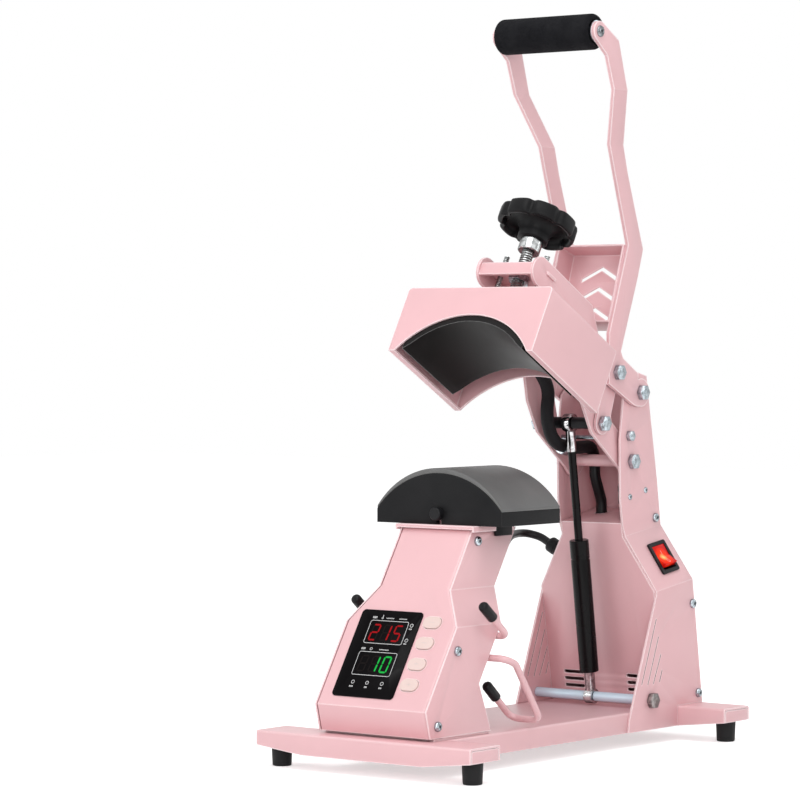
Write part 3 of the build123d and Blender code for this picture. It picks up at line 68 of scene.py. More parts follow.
DRIFT_SPAN = (0.3, 0.7)         # the part of the slow drift in which a tone changes
OPEN_CREASE = 0.62              # a seam is shaded where less of its surroundings than this is open


def start_group(name, inputs, outputs):
    """An empty shader group with number inputs and the named number outputs."""
    group = bpy.data.node_groups.new(name, "ShaderNodeTree")
    for label, value in inputs:
        socket = group.interface.new_socket(name=label, in_out="INPUT", socket_type="NodeSocketFloat")
        socket.default_value = value
    for label in outputs:
        group.interface.new_socket(name=label, in_out="OUTPUT", socket_type="NodeSocketFloat")
    inner = group.nodes.new("NodeGroupInput")
    outer = group.nodes.new("NodeGroupOutput")
    return group, inner, outer


def math_node(tree, kind, first, second, clamp=False):
    """A Math node fed by sockets or plain numbers, and its output."""
    node = tree.nodes.new("ShaderNodeMath")
    node.operation = kind
    node.use_clamp = clamp
    for index, source in enumerate((first, second)):
        if isinstance(source, (int, float)):
            node.inputs[index].default_value = source
        else:
            tree.links.new(source, node.inputs[index])
    return node.outputs[0]


def noise_node(tree, vector, scale, detail=2.0, roughness=0.5):
    """A Noise texture on a vector, and its value output."""
    node = tree.nodes.new("ShaderNodeTexNoise")
    if isinstance(scale, (int, float)):
        node.inputs["Scale"].default_value = scale
    else:
        tree.links.new(scale, node.inputs["Scale"])
    node.inputs["Detail"].default_value = detail
    node.inputs["Roughness"].default_value = roughness
    tree.links.new(vector, node.inputs["Vector"])
    return node.outputs["Fac"]


def make_coat_grain():
    """The ripple and the fine grain of a sprayed or cast surface, and a slow drift of tone."""
    group, inner, outer = start_group(
        "coat_grain", [("Grain", 900.0), ("Ripple", 90.0), ("Ripple Share", 0.5)], ["Height", "Drift"])
    place = group.nodes.new("ShaderNodeTexCoord").outputs["Object"]
    fine = noise_node(group, place, inner.outputs["Grain"], 2.0)
    wave = noise_node(group, place, inner.outputs["Ripple"], 1.0)
    wave = math_node(group, "MULTIPLY", wave, inner.outputs["Ripple Share"])
    group.links.new(math_node(group, "ADD", fine, wave), outer.inputs["Height"])
    group.links.new(noise_node(group, place, 14.0, 3.0, 0.6), outer.inputs["Drift"])
    return group


def make_edge_mask():
    """How near a point is to a sharp outer edge, from 0 to 1."""
    group, inner, outer = start_group("edge_mask", [("Radius", 0.0012), ("Gain", 4.0)], ["Edge"])
    bevel = group.nodes.new("ShaderNodeBevel")
    bevel.samples = 6
    group.links.new(inner.outputs["Radius"], bevel.inputs["Radius"])
    flat = group.nodes.new("ShaderNodeNewGeometry")
    dot = group.nodes.new("ShaderNodeVectorMath")
    dot.operation = "DOT_PRODUCT"
    group.links.new(bevel.outputs[0], dot.inputs[0])
    group.links.new(flat.outputs["Normal"], dot.inputs[1])
    away = math_node(group, "SUBTRACT", 1.0, dot.outputs["Value"], True)
    away = math_node(group, "POWER", away, 0.5)
    group.links.new(math_node(group, "MULTIPLY", away, inner.outputs["Gain"], True), outer.inputs["Edge"])
    return group


def make_painted_shade_mask():
    """How deep a point lies in a seam or an inner corner, from 0 to 1: the mask for painted shade."""
    group, inner, outer = start_group("painted_shade_mask", [("Reach", 0.004), ("Gain", 1.6)], ["Crease"])
    shade = group.nodes.new("ShaderNodeAmbientOcclusion")
    shade.samples = 8
    group.links.new(inner.outputs["Reach"], shade.inputs["Distance"])
    closed = math_node(group, "SUBTRACT", OPEN_CREASE, shade.outputs["AO"], True)
    closed = math_node(group, "MULTIPLY", closed, inner.outputs["Gain"], True)
    group.links.new(closed, outer.inputs["Crease"])
    return group


COAT_GRAIN = make_coat_grain()
EDGE_MASK = make_edge_mask()
PAINTED_SHADE_MASK = make_painted_shade_mask()


def place_group(material, group, **values):
    """A group's node in a material, with its own values."""
    node = material.node_tree.nodes.new("ShaderNodeGroup")
    node.node_tree = group
    for label, value in values.items():
        node.inputs[label.replace("_", " ")].default_value = value
    return node


def new_finish(name, colour, roughness, metallic=0.0):
    """A material with its shader, set to plain values."""
    material = bpy.data.materials.new(name)
    material.use_nodes = True
    shader = material.node_tree.nodes["Principled BSDF"]
    shader.inputs["Base Color"].default_value = (*colour, 1.0)
    shader.inputs["Roughness"].default_value = roughness
    shader.inputs["Metallic"].default_value = metallic
    return material, shader


def tint(material, target, factor, from_colour, to_colour, spread=(0.0, 1.0)):
    """Runs a colour input between two colours by a factor."""
    tree = material.node_tree
    ramp = tree.nodes.new("ShaderNodeMapRange")
    ramp.inputs["From Min"].default_value = spread[0]
    ramp.inputs["From Max"].default_value = spread[1]
    mix = tree.nodes.new("ShaderNodeMix")
    mix.data_type = "RGBA"
    tree.links.new(factor, ramp.inputs["Value"])
    tree.links.new(ramp.outputs["Result"], mix.inputs["Factor"])
    for socket, source in ((mix.inputs[6], from_colour), (mix.inputs[7], to_colour)):
        if isinstance(source, tuple):
            socket.default_value = (*source, 1.0)
        else:
            tree.links.new(source, socket)
    if target is not None:
        tree.links.new(mix.outputs[2], target)
    return mix.outputs[2]


def vary(material, target, factor, low, high):
    """Runs a number input between two values by a factor from 0 to 1."""
    ramp = material.node_tree.nodes.new("ShaderNodeMapRange")
    ramp.inputs["From Min"].default_value = 0.25
    ramp.inputs["From Max"].default_value = 0.75
    ramp.inputs["To Min"].default_value = low
    ramp.inputs["To Max"].default_value = high
    material.node_tree.links.new(factor, ramp.inputs["Value"])
    material.node_tree.links.new(ramp.outputs["Result"], target)


def emboss(material, shader, height, strength, distance=0.0002):
    """Feeds a height into the shader's normal."""
    bump = material.node_tree.nodes.new("ShaderNodeBump")
    bump.inputs["Strength"].default_value = strength
    bump.inputs["Distance"].default_value = distance
    material.node_tree.links.new(height, bump.inputs["Height"])
    material.node_tree.links.new(bump.outputs["Normal"], shader.inputs["Normal"])


def make_powder_coat(name):
    """Satin powder coat with a fine ripple, its edges painted pale as a highlight and its seams painted
    darker as shade.
    """
    material, shader = new_finish(name, PINK, 0.42)
    grain = place_group(material, COAT_GRAIN, Grain=700.0, Ripple=160.0, Ripple_Share=0.7)
    edge = place_group(material, EDGE_MASK, Radius=0.0019, Gain=3.0)
    painted_shade = place_group(material, PAINTED_SHADE_MASK, Reach=0.0035, Gain=1.9)
    deeper = tuple(0.965 * part for part in PINK)
    drifted = tint(material, None, grain.outputs["Drift"], PINK, deeper, DRIFT_SPAN)
    # paints shade into the seams and inner corners
    painted_shaded = tint(material, None, painted_shade.outputs["Crease"], drifted, PINK_PAINTED_SHADE)
    # paints a pale highlight along the sharp edges
    tint(material, shader.inputs["Base Color"], edge.outputs["Edge"], painted_shaded, PINK_PAINTED_HIGHLIGHT, (0.10, 1.0))
    vary(material, shader.inputs["Roughness"], grain.outputs["Drift"], 0.38, 0.46)
    emboss(material, shader, grain.outputs["Height"], 0.10)
    shader.inputs["Specular IOR Level"].default_value = 0.6
    shader.inputs["Coat Weight"].default_value = 0.25
    shader.inputs["Coat Roughness"].default_value = 0.28
    return material


powder_coat = make_powder_coat("powder_coat_pink")


def show(name, mesh, body, finish):
    """Puts a mesh in the scene, riding on a body."""
    piece = bpy.data.objects.new(name, mesh)
    bpy.context.scene.collection.objects.link(piece)
    mesh.materials.append(finish)
    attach(piece, body)
    return piece


def body_of_node(node):
    """The body that a node of the frame belongs to."""
    return frame["nodes"][node]["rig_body"]


def rounded(node, edge, finish, bend=28.0):
    """A node's own shape with its cut edges and folds rounded, standing for the node."""
    shape = bmesh.new()
    shape.from_mesh(frame["nodes"][node].data)
    bmesh.ops.remove_doubles(shape, verts=shape.verts, dist=0.00001)
    bmesh.ops.dissolve_limit(shape, angle_limit=math.radians(0.6), verts=shape.verts, edges=shape.edges)
    mesh = bpy.data.meshes.new(node + "_rounded")
    shape.to_mesh(mesh)
    shape.free()
    piece = show(node + "_rounded", mesh, body_of_node(node), finish)
    bevel = piece.modifiers.new("edges", "BEVEL")
    bevel.width = edge
    bevel.segments = 3
    bevel.limit_method = "ANGLE"
    bevel.angle_limit = math.radians(bend)
    bevel.miter_outer = "MITER_ARC"
    shaded = piece.modifiers.new("shading", "WEIGHTED_NORMAL")
    shaded.keep_sharp = True
    for face in mesh.polygons:
        face.use_smooth = True
    mesh.set_sharp_from_angle(angle=math.radians(bend))
    dressed = bpy.data.meshes.new_from_object(
        piece.evaluated_get(bpy.context.evaluated_depsgraph_get()))
    piece.modifiers.clear()
    piece.data = dressed
    for face in dressed.polygons:
        face.use_smooth = True
    dressed.set_sharp_from_angle(angle=math.radians(50))
    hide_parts(node)
    return piece


for channel in ("front_crossbar", "rear_crossbar", "base_beam"):
    rounded(channel, 0.0007, powder_coat)


# ---- rubber feet ---------------------------------------------
# Four moulded rubber feet, tapered towards the floor, screwed up into the crossbars' webs.  They are
# black and matt, and carry the whole press.
def grained(name, colour, roughness, grain, bump, tones=None, rough=None, specular=None, metallic=0.0,
            edge_highlight=None):
    """A plain finish with its grain (scale, ripple, share), two drifting tones and a painted highlight on
    its edges.
    """
    material, shader = new_finish(name, colour, roughness, metallic)
    mask = place_group(material, COAT_GRAIN, Grain=grain[0], Ripple=grain[1], Ripple_Share=grain[2])
    if tones:
        target = None if edge_highlight else shader.inputs["Base Color"]
        tone = tint(material, target, mask.outputs["Drift"], *tones, DRIFT_SPAN)
    # paints a paler highlight along the edges
    if edge_highlight:
        radius, gain, highlight_colour, span = edge_highlight
        edge = place_group(material, EDGE_MASK, Radius=radius, Gain=gain)
        tint(material, shader.inputs["Base Color"], edge.outputs["Edge"], tone, highlight_colour, span)
    if rough:
        vary(material, shader.inputs["Roughness"], mask.outputs["Drift"], *rough)
    if specular is not None:
        shader.inputs["Specular IOR Level"].default_value = specular
    emboss(material, shader, mask.outputs["Height"], bump)
    return material


MOULDED = 40.0                  # moulded or turned pieces are rounded from this angle up
rubber = grained("foot_rubber", (0.012, 0.012, 0.013), 0.55, (1600.0, 60.0, 0.2), 0.25,
                 ((0.004, 0.004, 0.005), (0.011, 0.011, 0.012)), (0.48, 0.62), 0.22)
rounded("rubber_feet", 0.0012, rubber, MOULDED)


# ---- column --------------------------------------------------
# Two side plates bent outwards below the arms, with cut slits near the foot, a leaning front panel with
# vents and a shelf at its top, and a rear cover screwed between the plates.  All are powder coated.
BENCH_MIDDLE = 0.231            # the frame's middle lies this far behind the front crossbar's face
SLITS = [((378.7, 123.2), (353.4, 60.3)), ((382.8, 105.5), (364.1, 59.4)), ((387.0, 87.8), (373.6, 59.4)),
         ((389.0, 72.0), (384.5, 60.5))]
SLIT_REACH = 0.0009
FOLD = 14.0                     # folds of bent sheet are rounded from this angle up, in degrees
# the slits' walls are painted dark red-brown as shade, so that the thin cuts read as dark lines
painted_slit_shade = grained("painted_slit_shadow", (0.10, 0.035, 0.035), 0.6, (1800.0, 500.0, 0.6), 0.2,
                    ((0.080, 0.026, 0.027), (0.130, 0.048, 0.047)))


def bench(x, y, z):
    """A place given in millimetres from the front crossbar's face, as metres in the frame."""
    return Vector((x / 1000, y / 1000 - BENCH_MIDDLE, z / 1000))


def dress_part(piece, finish, inside):
    """Gives a second finish to the faces that pass a test."""
    piece.data.materials.append(finish)
    for face in piece.data.polygons:
        if inside(face):
            face.material_index = len(piece.data.materials) - 1


def in_slit(face):
    """Whether a face is one of the walls of the cut slits."""
    for top, foot in SLITS:
        top, foot = bench(face.center.x * 1000, *top), bench(face.center.x * 1000, *foot)
        near, share = intersect_point_line(face.center, top, foot)
        if -0.02 < share < 1.02 and (face.center - near).length < SLIT_REACH:
            return True
    return False


for plate in ("column_left", "column_right"):
    dress_part(rounded(plate, 0.0009, powder_coat, bend=FOLD), painted_slit_shade, in_slit)
for panel in ("column_front_panel", "column_back_cover"):
    rounded(panel, 0.0006, powder_coat, bend=FOLD)


# ---- mains inlet ---------------------------------------------
# A moulded three pin inlet for the mains lead, in black plastic.  It is clipped into a cut-out in the
# rear cover.
black_plastic = grained("black_plastic", (0.014, 0.014, 0.015), 0.38, (1300.0, 220.0, 0.3), 0.18,
                        ((0.007, 0.007, 0.008), (0.014, 0.014, 0.016)), (0.30, 0.44), 0.16)
rounded("inlet_socket", 0.0005, black_plastic)


# ---- power switch --------------------------------------------
# A black bezel snapped into the right plate and a lit red rocker that tips on two pins.  The rocker is
# clear red plastic over a small lamp, printed with a stroke and a ring.
rounded("rocker_bezel", 0.0005, black_plastic)
LAMP_DEEP = 6.0                 # the lamp's place from the pins, in millimetres
LAMP_BELOW = 0.6
LAMP_ALONG = -1.6
PRINT_LIFT = 0.07               # printed marks stand this far out of the rocker, and go as far into it


def joint_of(body):
    """The joint that moves a body."""
    return next(joint for joint in frame["joints"] if joint["child"] == body)


switch_joint = joint_of("rocker")
switch_pin = Vector(switch_joint["pos_m"])
switch_along = Vector(switch_joint["axis"])
switch_out = Vector((0.8651, -0.0698, 0.4967))
switch_up = switch_out.cross(switch_along).normalized()
lit_red = grained("lit_red_plastic", (0.70, 0.010, 0.006), 0.20, (900.0, 120.0, 0.5), 0.05,
                  ((0.46, 0.004, 0.003), (0.58, 0.010, 0.006)), specular=0.08)
red_shader = lit_red.node_tree.nodes["Principled BSDF"]
lamp_place = lit_red.node_tree.nodes.new("ShaderNodeTexCoord").outputs["Object"]
lamp_distance = lit_red.node_tree.nodes.new("ShaderNodeVectorMath")
lamp_distance.operation = "DISTANCE"
lamp_offset = switch_out * LAMP_DEEP + switch_along * LAMP_ALONG - switch_up * LAMP_BELOW
lamp_distance.inputs[1].default_value = switch_pin + lamp_offset / 1000
lit_red.node_tree.links.new(lamp_place, lamp_distance.inputs[0])
halo = tint(lit_red, None, lamp_distance.outputs["Value"], (0.95, 0.060, 0.004), (0.13, 0.0, 0.0),
            (0.0035, 0.0120))
tint(lit_red, red_shader.inputs["Emission Color"], lamp_distance.outputs["Value"], (1.0, 0.66, 0.22), halo,
     (0.0008, 0.0050))
red_shader.inputs["Emission Strength"].default_value = 1.0
red_shader.inputs["Coat Weight"].default_value = 0.06
red_shader.inputs["Coat Roughness"].default_value = 0.10
rocker_piece = rounded("rocker", 0.0006, lit_red, 10.0)
rocker_skin = BVHTree.FromPolygons([point.co for point in rocker_piece.data.vertices],
                                   [face.vertices[:] for face in rocker_piece.data.polygons])


def on_rocker(across, up, lift):
    """A place on the rocker's face, from its pins, in millimetres."""
    above = switch_pin + (switch_along * across + switch_up * up + switch_out * 30) / 1000
    return rocker_skin.ray_cast(above, -switch_out)[0] + switch_out * lift / 1000


def thin_patch(shape, upper, lower, index=0):
    """A thin closed edge and face between two outlines, open underneath."""
    top = [shape.verts.new(point) for point in upper]
    low = [shape.verts.new(point) for point in lower]
    faces = [shape.faces.new(top)]
    for step in range(len(top)):
        after = (step + 1) % len(top)
        faces.append(shape.faces.new([low[step], low[after], top[after], top[step]]))
    for face in faces:
        face.material_index = index


def rocker_patch(shape, outline):
    """A thin printed patch that lies on the rocker's face."""
    thin_patch(shape, [on_rocker(across, up, PRINT_LIFT) for across, up in outline],
               [on_rocker(across, up, -PRINT_LIFT) for across, up in outline])


rocker_ink, ink_shader = new_finish("rocker_ink", (0.92, 0.50, 0.46), 0.35)
ink_grain = place_group(rocker_ink, COAT_GRAIN, Grain=2500.0, Ripple=500.0, Ripple_Share=0.6)
for ink_input in ("Base Color", "Emission Color"):
    tint(rocker_ink, ink_shader.inputs[ink_input], ink_grain.outputs["Drift"],
         (0.70, 0.24, 0.21), (0.62, 0.17, 0.15), DRIFT_SPAN)
ink_shader.inputs["Emission Strength"].default_value = 0.30
rocker_marks = bmesh.new()
rocker_patch(rocker_marks, [(-0.4, 2.6), (0.4, 2.6), (0.4, 7.2), (-0.4, 7.2)])
RING_BELOW = 5.6                # the ring lies this far below the pins; it is taller than wide
RING_TALL = 1.25
RING_OUTER = 1.9
RING_INNER = 1.25
RING_STEPS = 16
for step in range(RING_STEPS):
    here, after = (2 * math.pi * mark / RING_STEPS for mark in (step, step + 1))
    corners = ((RING_OUTER, here), (RING_OUTER, after), (RING_INNER, after), (RING_INNER, here))
    rocker_patch(rocker_marks, [(reach * math.cos(angle), RING_TALL * reach * math.sin(angle) - RING_BELOW)
                                for reach, angle in corners])
bmesh.ops.recalc_face_normals(rocker_marks, faces=rocker_marks.faces)
rocker_marks_mesh = bpy.data.meshes.new("rocker_marks")
rocker_marks.to_mesh(rocker_marks_mesh)
rocker_marks.free()
show("rocker_marks", rocker_marks_mesh, "rocker", rocker_ink)


# ---- cable gland and link cable ------------------------------
# A moulded black strain relief held in the left plate, and the round rubber covered cable that runs
# from it to the control box.
def paint(node, finish):
    """Gives a node of the frame its finish."""
    mesh = frame["nodes"][node].data
    mesh.materials.clear()
    mesh.materials.append(finish)


rounded("cable_gland", 0.0004, black_plastic, MOULDED)
cable_jacket = grained("cable_jacket", (0.010, 0.010, 0.011), 0.42, (1100.0, 45.0, 0.8), 0.12,
                       ((0.004, 0.004, 0.005), (0.012, 0.012, 0.013)), (0.34, 0.50), 0.25)
paint("link_cable", cable_jacket)


# ---- limit switch --------------------------------------------
# A small black plastic snap switch, which the arm presses when it comes down.  It is held inside the
# right plate by two screws.
rounded("limit_switch", 0.0004, black_plastic)


# ---- pan head screws -----------------------------------------
# Zinc plated pan head screws, each with a cross recess drawn as a flat patch of painted shadow.  They hold
# the rear cover, the box and the limit switch; each is pressed with a slightly domed head.
SCREW_HEAD = 0.0046
SCREW_DOME = 0.0034
SWITCH_HEAD = 0.0030
SWITCH_DOME = 0.0012
RECESS_TURN = 0.4
COLUMN_SCREWS = [(423.5, 220.4, 38.4), (443.2, 134.6, 70.0), (453.9, 44.4, 70.0)]
BOX_SCREWS = [(121.3, 211.3, 42.2), (60.3, 114.3, 65.0), (30.2, 47.9, 65.0)]
SWITCH_SCREWS = [(378.9, 242.7, 38.4), (406.3, 248.5, 38.4)]


def make_bright_metal(name, colour, roughness, drift=0.08, painted_edge_shade=0.55, painted_turn_shade=0.45):
    """A plated metal with light and dark patches of painted reflection, and painted shade along its edges
    and where it turns away.
    """
    material, shader = new_finish(name, colour, roughness, 1.0)
    grain = place_group(material, COAT_GRAIN, Grain=900.0, Ripple=260.0, Ripple_Share=0.4)
    edge = place_group(material, EDGE_MASK, Radius=0.0008, Gain=1.8)
    vary(material, shader.inputs["Roughness"], grain.outputs["Drift"],
         roughness - drift, roughness + drift)
    place = material.node_tree.nodes.new("ShaderNodeTexCoord").outputs["Object"]
    # light and dark patches painted as reflection
    reflection_cloud = noise_node(material.node_tree, place, 260.0, 2.0, 0.6)
    reflection_clouded = tint(material, None, reflection_cloud, tuple(1.25 * part for part in colour),
                   tuple(0.60 * part for part in colour), (0.40, 0.62))
    # painted shade where the surface turns away
    facing_away = material.node_tree.nodes.new("ShaderNodeLayerWeight")
    facing_away.inputs["Blend"].default_value = 0.5
    reflection_clouded = tint(material, None, facing_away.outputs["Facing"], reflection_clouded,
                   tuple(painted_turn_shade * part for part in colour), (0.30, 0.75))
    # painted shade along the edges
    tint(material, shader.inputs["Base Color"], edge.outputs["Edge"], reflection_clouded,
         tuple(painted_edge_shade * part for part in colour), (0.15, 0.9))
    emboss(material, shader, grain.outputs["Height"], 0.05)
    return material


zinc = make_bright_metal("zinc_plate", (0.44, 0.50, 0.54), 0.20, 0.08, 0.32, 0.55)
# the cross recesses are flat patches of painted shadow
recess_painted_shadow = grained("recess_shadow", (0.012, 0.014, 0.017), 0.5, (900.0, 200.0, 0.5), 0.3, metallic=0.6)


def join_rings(shape, rings):
    """Skins a row of rings; a ring of one point closes to that point."""
    for below, above in zip(rings, rings[1:]):
        steps = max(len(below), len(above))
        for step in range(steps):
            after = (step + 1) % steps
            if len(below) == 1:
                corners = [below[0], above[step], above[after]]
            elif len(above) == 1:
                corners = [below[after], below[step], above[0]]
            else:
                corners = [below[step], below[after], above[after], above[step]]
            shape.faces.new(corners)


def lathe(shape, profile, turn, segments=32):
    """Turns a profile of (radius, height) round the local Z axis and places it by a matrix."""
    rings = []
    for radius, height in profile:
        if radius < 1e-7:
            rings.append([shape.verts.new(turn @ Vector((0, 0, height)))])
            continue
        angles = [2 * math.pi * step / segments for step in range(segments)]
        rings.append([shape.verts.new(turn @ Vector((radius * math.cos(angle), radius * math.sin(angle),
                                                     height))) for angle in angles])
    join_rings(shape, rings)


def show_shape(shape, name, body, finish, sharp=40.0):
    """Puts a bmesh in the scene as a piece with smooth shading and sharp corners."""
    bmesh.ops.recalc_face_normals(shape, faces=shape.faces)
    mesh = bpy.data.meshes.new(name)
    shape.to_mesh(mesh)
    shape.free()
    for face in mesh.polygons:
        face.use_smooth = True
    mesh.set_sharp_from_angle(angle=math.radians(sharp))
    return show(name, mesh, body, finish)


def pan_head(shape, turn, head=SCREW_HEAD, dome=SCREW_DOME):
    """One domed head, its seat at the matrix's origin and its axis along Z; its cross recess is a flat
    patch in painted shadow.
    """
    lathe(shape, [(0.0, 0.0), (head, 0.0), (head, dome * 0.36), (head * 0.93, dome * 0.62),
                  (head * 0.78, dome * 0.82), (head * 0.5, dome * 0.96), (head * 0.34, dome * 0.985),
                  (head * 0.30, dome * 0.86), (0.0, dome * 0.80)], turn)
    low = dome * 0.965
    high = low + 0.00003
    wide = head * 0.15
    for quarter in range(4):
        spin = turn @ Matrix.Rotation(math.pi / 2 * quarter + RECESS_TURN, 4, "Z")
        corners = [(0, 0, high), (wide, wide, high), (head * 0.56, wide * 0.9, low),
                   (head * 0.62, 0, low - 0.00004), (head * 0.56, -wide * 0.9, low), (wide, -wide, high)]
        face = shape.faces.new([shape.verts.new(spin @ Vector(corner)) for corner in corners])
        face.material_index = 1


def facing(side):
    """Turns local Z to point out of the right side (1) or the left side (-1)."""
    return Matrix.Rotation(side * math.pi / 2, 4, "Y")


screw_heads = bmesh.new()
for y, z, half in COLUMN_SCREWS + BOX_SCREWS:
    for side in (1, -1):
        pan_head(screw_heads, Matrix.Translation(bench(side * half, y, z)) @ facing(side))
for y, z, half in SWITCH_SCREWS:
    pan_head(screw_heads, Matrix.Translation(bench(half, y, z)) @ facing(1), SWITCH_HEAD, SWITCH_DOME)
screw_set = show_shape(screw_heads, "cover_screw_heads", "base", zinc)
screw_set.data.materials.append(recess_painted_shadow)
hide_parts("cover_screws")


# ---- control box ---------------------------------------------
# A leaning box of bent sheet.  The body has the sides, the rear panel and the floor; the front cover
# sits between the sides with rounded bends and is held by pan head screws.
rounded("box_front_cover", 0.0004, powder_coat, bend=FOLD)
rounded("box_body", 0.0007, powder_coat, bend=FOLD)


# ---- display -------------------------------------------------
# A smoked acrylic panel with two recessed number windows, printed frames and ring marks.  The numbers
# are lit segments, red above and green below.
smoked = grained("smoked_acrylic", (0.010, 0.009, 0.010), 0.16, (1500.0, 30.0, 1.0), 0.03,
                 ((0.0020, 0.0016, 0.0020), (0.0040, 0.0032, 0.0040)), (0.12, 0.22), 0.05)
rounded("display_panel", 0.0003, smoked)


def make_print(name, colour, glow):
    """Printed ink or a lit segment, with a slight unevenness."""
    material, shader = new_finish(name, colour, 0.5)
    grain = place_group(material, COAT_GRAIN, Grain=2500.0, Ripple=500.0, Ripple_Share=0.6)
    unlit = tuple((0.10 if glow else 1.0) * part for part in colour)
    for target, tone in (("Base Color", unlit), ("Emission Color", colour)):
        tint(material, shader.inputs[target], grain.outputs["Height"], tone,
             tuple(0.85 * part for part in tone), (0.4, 1.0))
    shader.inputs["Emission Strength"].default_value = glow
    shader.inputs["Specular IOR Level"].default_value = 0.06
    return material


white_ink = make_print("white_ink", (0.66, 0.66, 0.66), 0.0)
red_light = make_print("red_segments", (0.50, 0.005, 0.009), 0.75)
green_light = make_print("green_segments", (0.015, 0.58, 0.08), 0.9)
dim_light = make_print("unlit_segments", (0.005, 0.003, 0.003), 0.0)
BOX_BEND = (13.2, 62.1)           # the front's lower bend, behind the front crossbar and over the bench
BOX_LEAN = math.radians(32.25)
INK_OUT = 1.05                  # printed marks stand this far out of the front, over the 1 mm panel
WINDOW_OUT = 0.66               # and the segments this far, in the recessed windows
INK_THICK = 0.04


def on_front(x, up, out):
    """A place on the box's leaning front, from its lower bend, in millimetres."""
    y = BOX_BEND[0] + up * math.sin(BOX_LEAN) - out * math.cos(BOX_LEAN)
    z = BOX_BEND[1] + up * math.cos(BOX_LEAN) + out * math.sin(BOX_LEAN)
    return bench(x, y, z)


def flat_shape(shape, outline, out, index=0):
    """A thin printed or lit shape on the front, from its (x, up) outline."""
    thin_patch(shape, [on_front(x, up, out) for x, up in outline],
               [on_front(x, up, out - INK_THICK) for x, up in outline], index)


def flat_box(shape, x_from, x_to, up_from, up_to):
    """A thin printed rectangle on the front."""
    flat_shape(shape, [(x_from, up_from), (x_to, up_from), (x_to, up_to), (x_from, up_to)], INK_OUT)


def ring(shape, x, up, outer, inner, start=0.0, sweep=360.0, steps=28):
    """A flat printed ring, or part of one."""
    count = max(3, int(steps * sweep / 360))
    marks = [math.radians(start + sweep * step / count) for step in range(count + 1)]
    for one, two in zip(marks, marks[1:]):
        corners = ((outer, one), (outer, two), (inner, two), (inner, one))
        flat_shape(shape, [(x + reach * math.cos(angle), up + reach * math.sin(angle))
                           for reach, angle in corners], INK_OUT)


def round_frame(shape, x_from, x_to, up_from, up_to, corner, line):
    """A thin rectangular outline with round corners."""
    for x, up, start in ((x_to - corner, up_to - corner, 0), (x_from + corner, up_to - corner, 90),
                         (x_from + corner, up_from + corner, 180), (x_to - corner, up_from + corner, 270)):
        ring(shape, x, up, corner, corner - line, start, 90.0, 24)
    for x_a, x_b, up_a, up_b in ((x_from + corner, x_to - corner, up_to - line, up_to),
                                 (x_from + corner, x_to - corner, up_from, up_from + line),
                                 (x_from, x_from + line, up_from + corner, up_to - corner),
                                 (x_to - line, x_to, up_from + corner, up_to - corner)):
        flat_box(shape, x_a, x_b, up_a, up_b)


WINDOWS = ((65.0, 89.2), (32.0, 56.5))      # the heights of the two frames
FRAME_LEFT = -34.9
FRAME_RIGHT = 10.0
FRAME_CORNER = 2.2
FRAME_LINE = 0.55
LAMP_RINGS = [(13.9, 85.7), (14.1, 70.1), (-29.5, 24.6), (-12.8, 24.6), (4.5, 24.6)]
LAMP_OUTER = 1.9
LAMP_INNER = 1.35
MARK_GAP = 0.42
ink = bmesh.new()
for low, high in WINDOWS:
    round_frame(ink, FRAME_LEFT, FRAME_RIGHT, low, high, FRAME_CORNER, FRAME_LINE)
for x, up in LAMP_RINGS:
    ring(ink, x, up, LAMP_OUTER, LAMP_INNER)


def caption(shape, x, up, widths, height):
    """A row of tiny upright marks, as small as unreadable print."""
    for width in widths:
        flat_box(shape, x, x + width, up, up + height)
        x += width + MARK_GAP


for x, up, widths, height in ((-34.0, 91.0, (0.9, 0.7, 1.1, 0.8), 2.1), (-18.0, 91.2, (0.6,) * 9, 1.1),
                              (-3.0, 91.2, (0.5,) * 10, 1.1), (-34.0, 58.3, (0.9, 0.5, 1.0, 0.8), 2.1),
                              (-13.0, 58.5, (0.6, 0.5, 0.8, 0.5, 0.6, 0.7, 0.5, 0.8, 0.6, 0.5, 0.6), 1.1),
                              (12.2, 66.0, (0.6, 0.9, 0.7), 1.3), (12.2, 81.3, (0.8, 0.6, 0.9), 1.3),
                              (-32.0, 19.2, (0.8, 0.7, 0.8, 0.6), 1.6), (-14.4, 19.2, (0.7, 0.9, 0.6), 1.6),
                              (2.6, 19.2, (0.9, 0.6, 0.8), 1.6)):
    caption(ink, x, up, widths, height)
ring(ink, -22.6, 91.7, 1.1, 0.6)
flat_box(ink, -22.95, -22.25, 92.4, 95.0)
ring(ink, -22.6, 59.4, 1.5, 1.0)
show_shape(ink, "display_print", "base", white_ink)

SEGMENTS = {"a": ((0.14, 1.0), (0.86, 1.0)), "d": ((0.14, 0.0), (0.86, 0.0)),
            "g": ((0.14, 0.5), (0.86, 0.5)),
            "f": ((0.0, 0.56), (0.0, 0.94)), "b": ((1.0, 0.56), (1.0, 0.94)),
            "e": ((0.0, 0.06), (0.0, 0.44)), "c": ((1.0, 0.06), (1.0, 0.44))}
LIT = {"0": "abcdef", "1": "bc", "2": "abged", "5": "afgcd", " ": ""}
DIGIT_WIDTH = 7.6
DIGIT_HEIGHT = 15.8
DIGIT_PLACES = (-30.6, -17.5, -4.4)
DIGIT_SLANT = 0.08
STROKE_HALF = 0.85


def digit(shape, figure, x, up, index):
    """One seven segment figure, lit segments in one material and the rest dim."""
    for key, ends in SEGMENTS.items():
        one, two = (Vector((x + DIGIT_WIDTH * over + DIGIT_SLANT * DIGIT_HEIGHT * rise,
                            up + DIGIT_HEIGHT * rise)) for over, rise in ends)
        tip = (two - one).normalized() * STROKE_HALF
        across = Vector((-tip[1], tip[0]))
        outline = [one - tip, one - across, two - across, two + tip, two + across, one + across]
        flat_shape(shape, outline, WINDOW_OUT, index if key in LIT[figure] else 0)


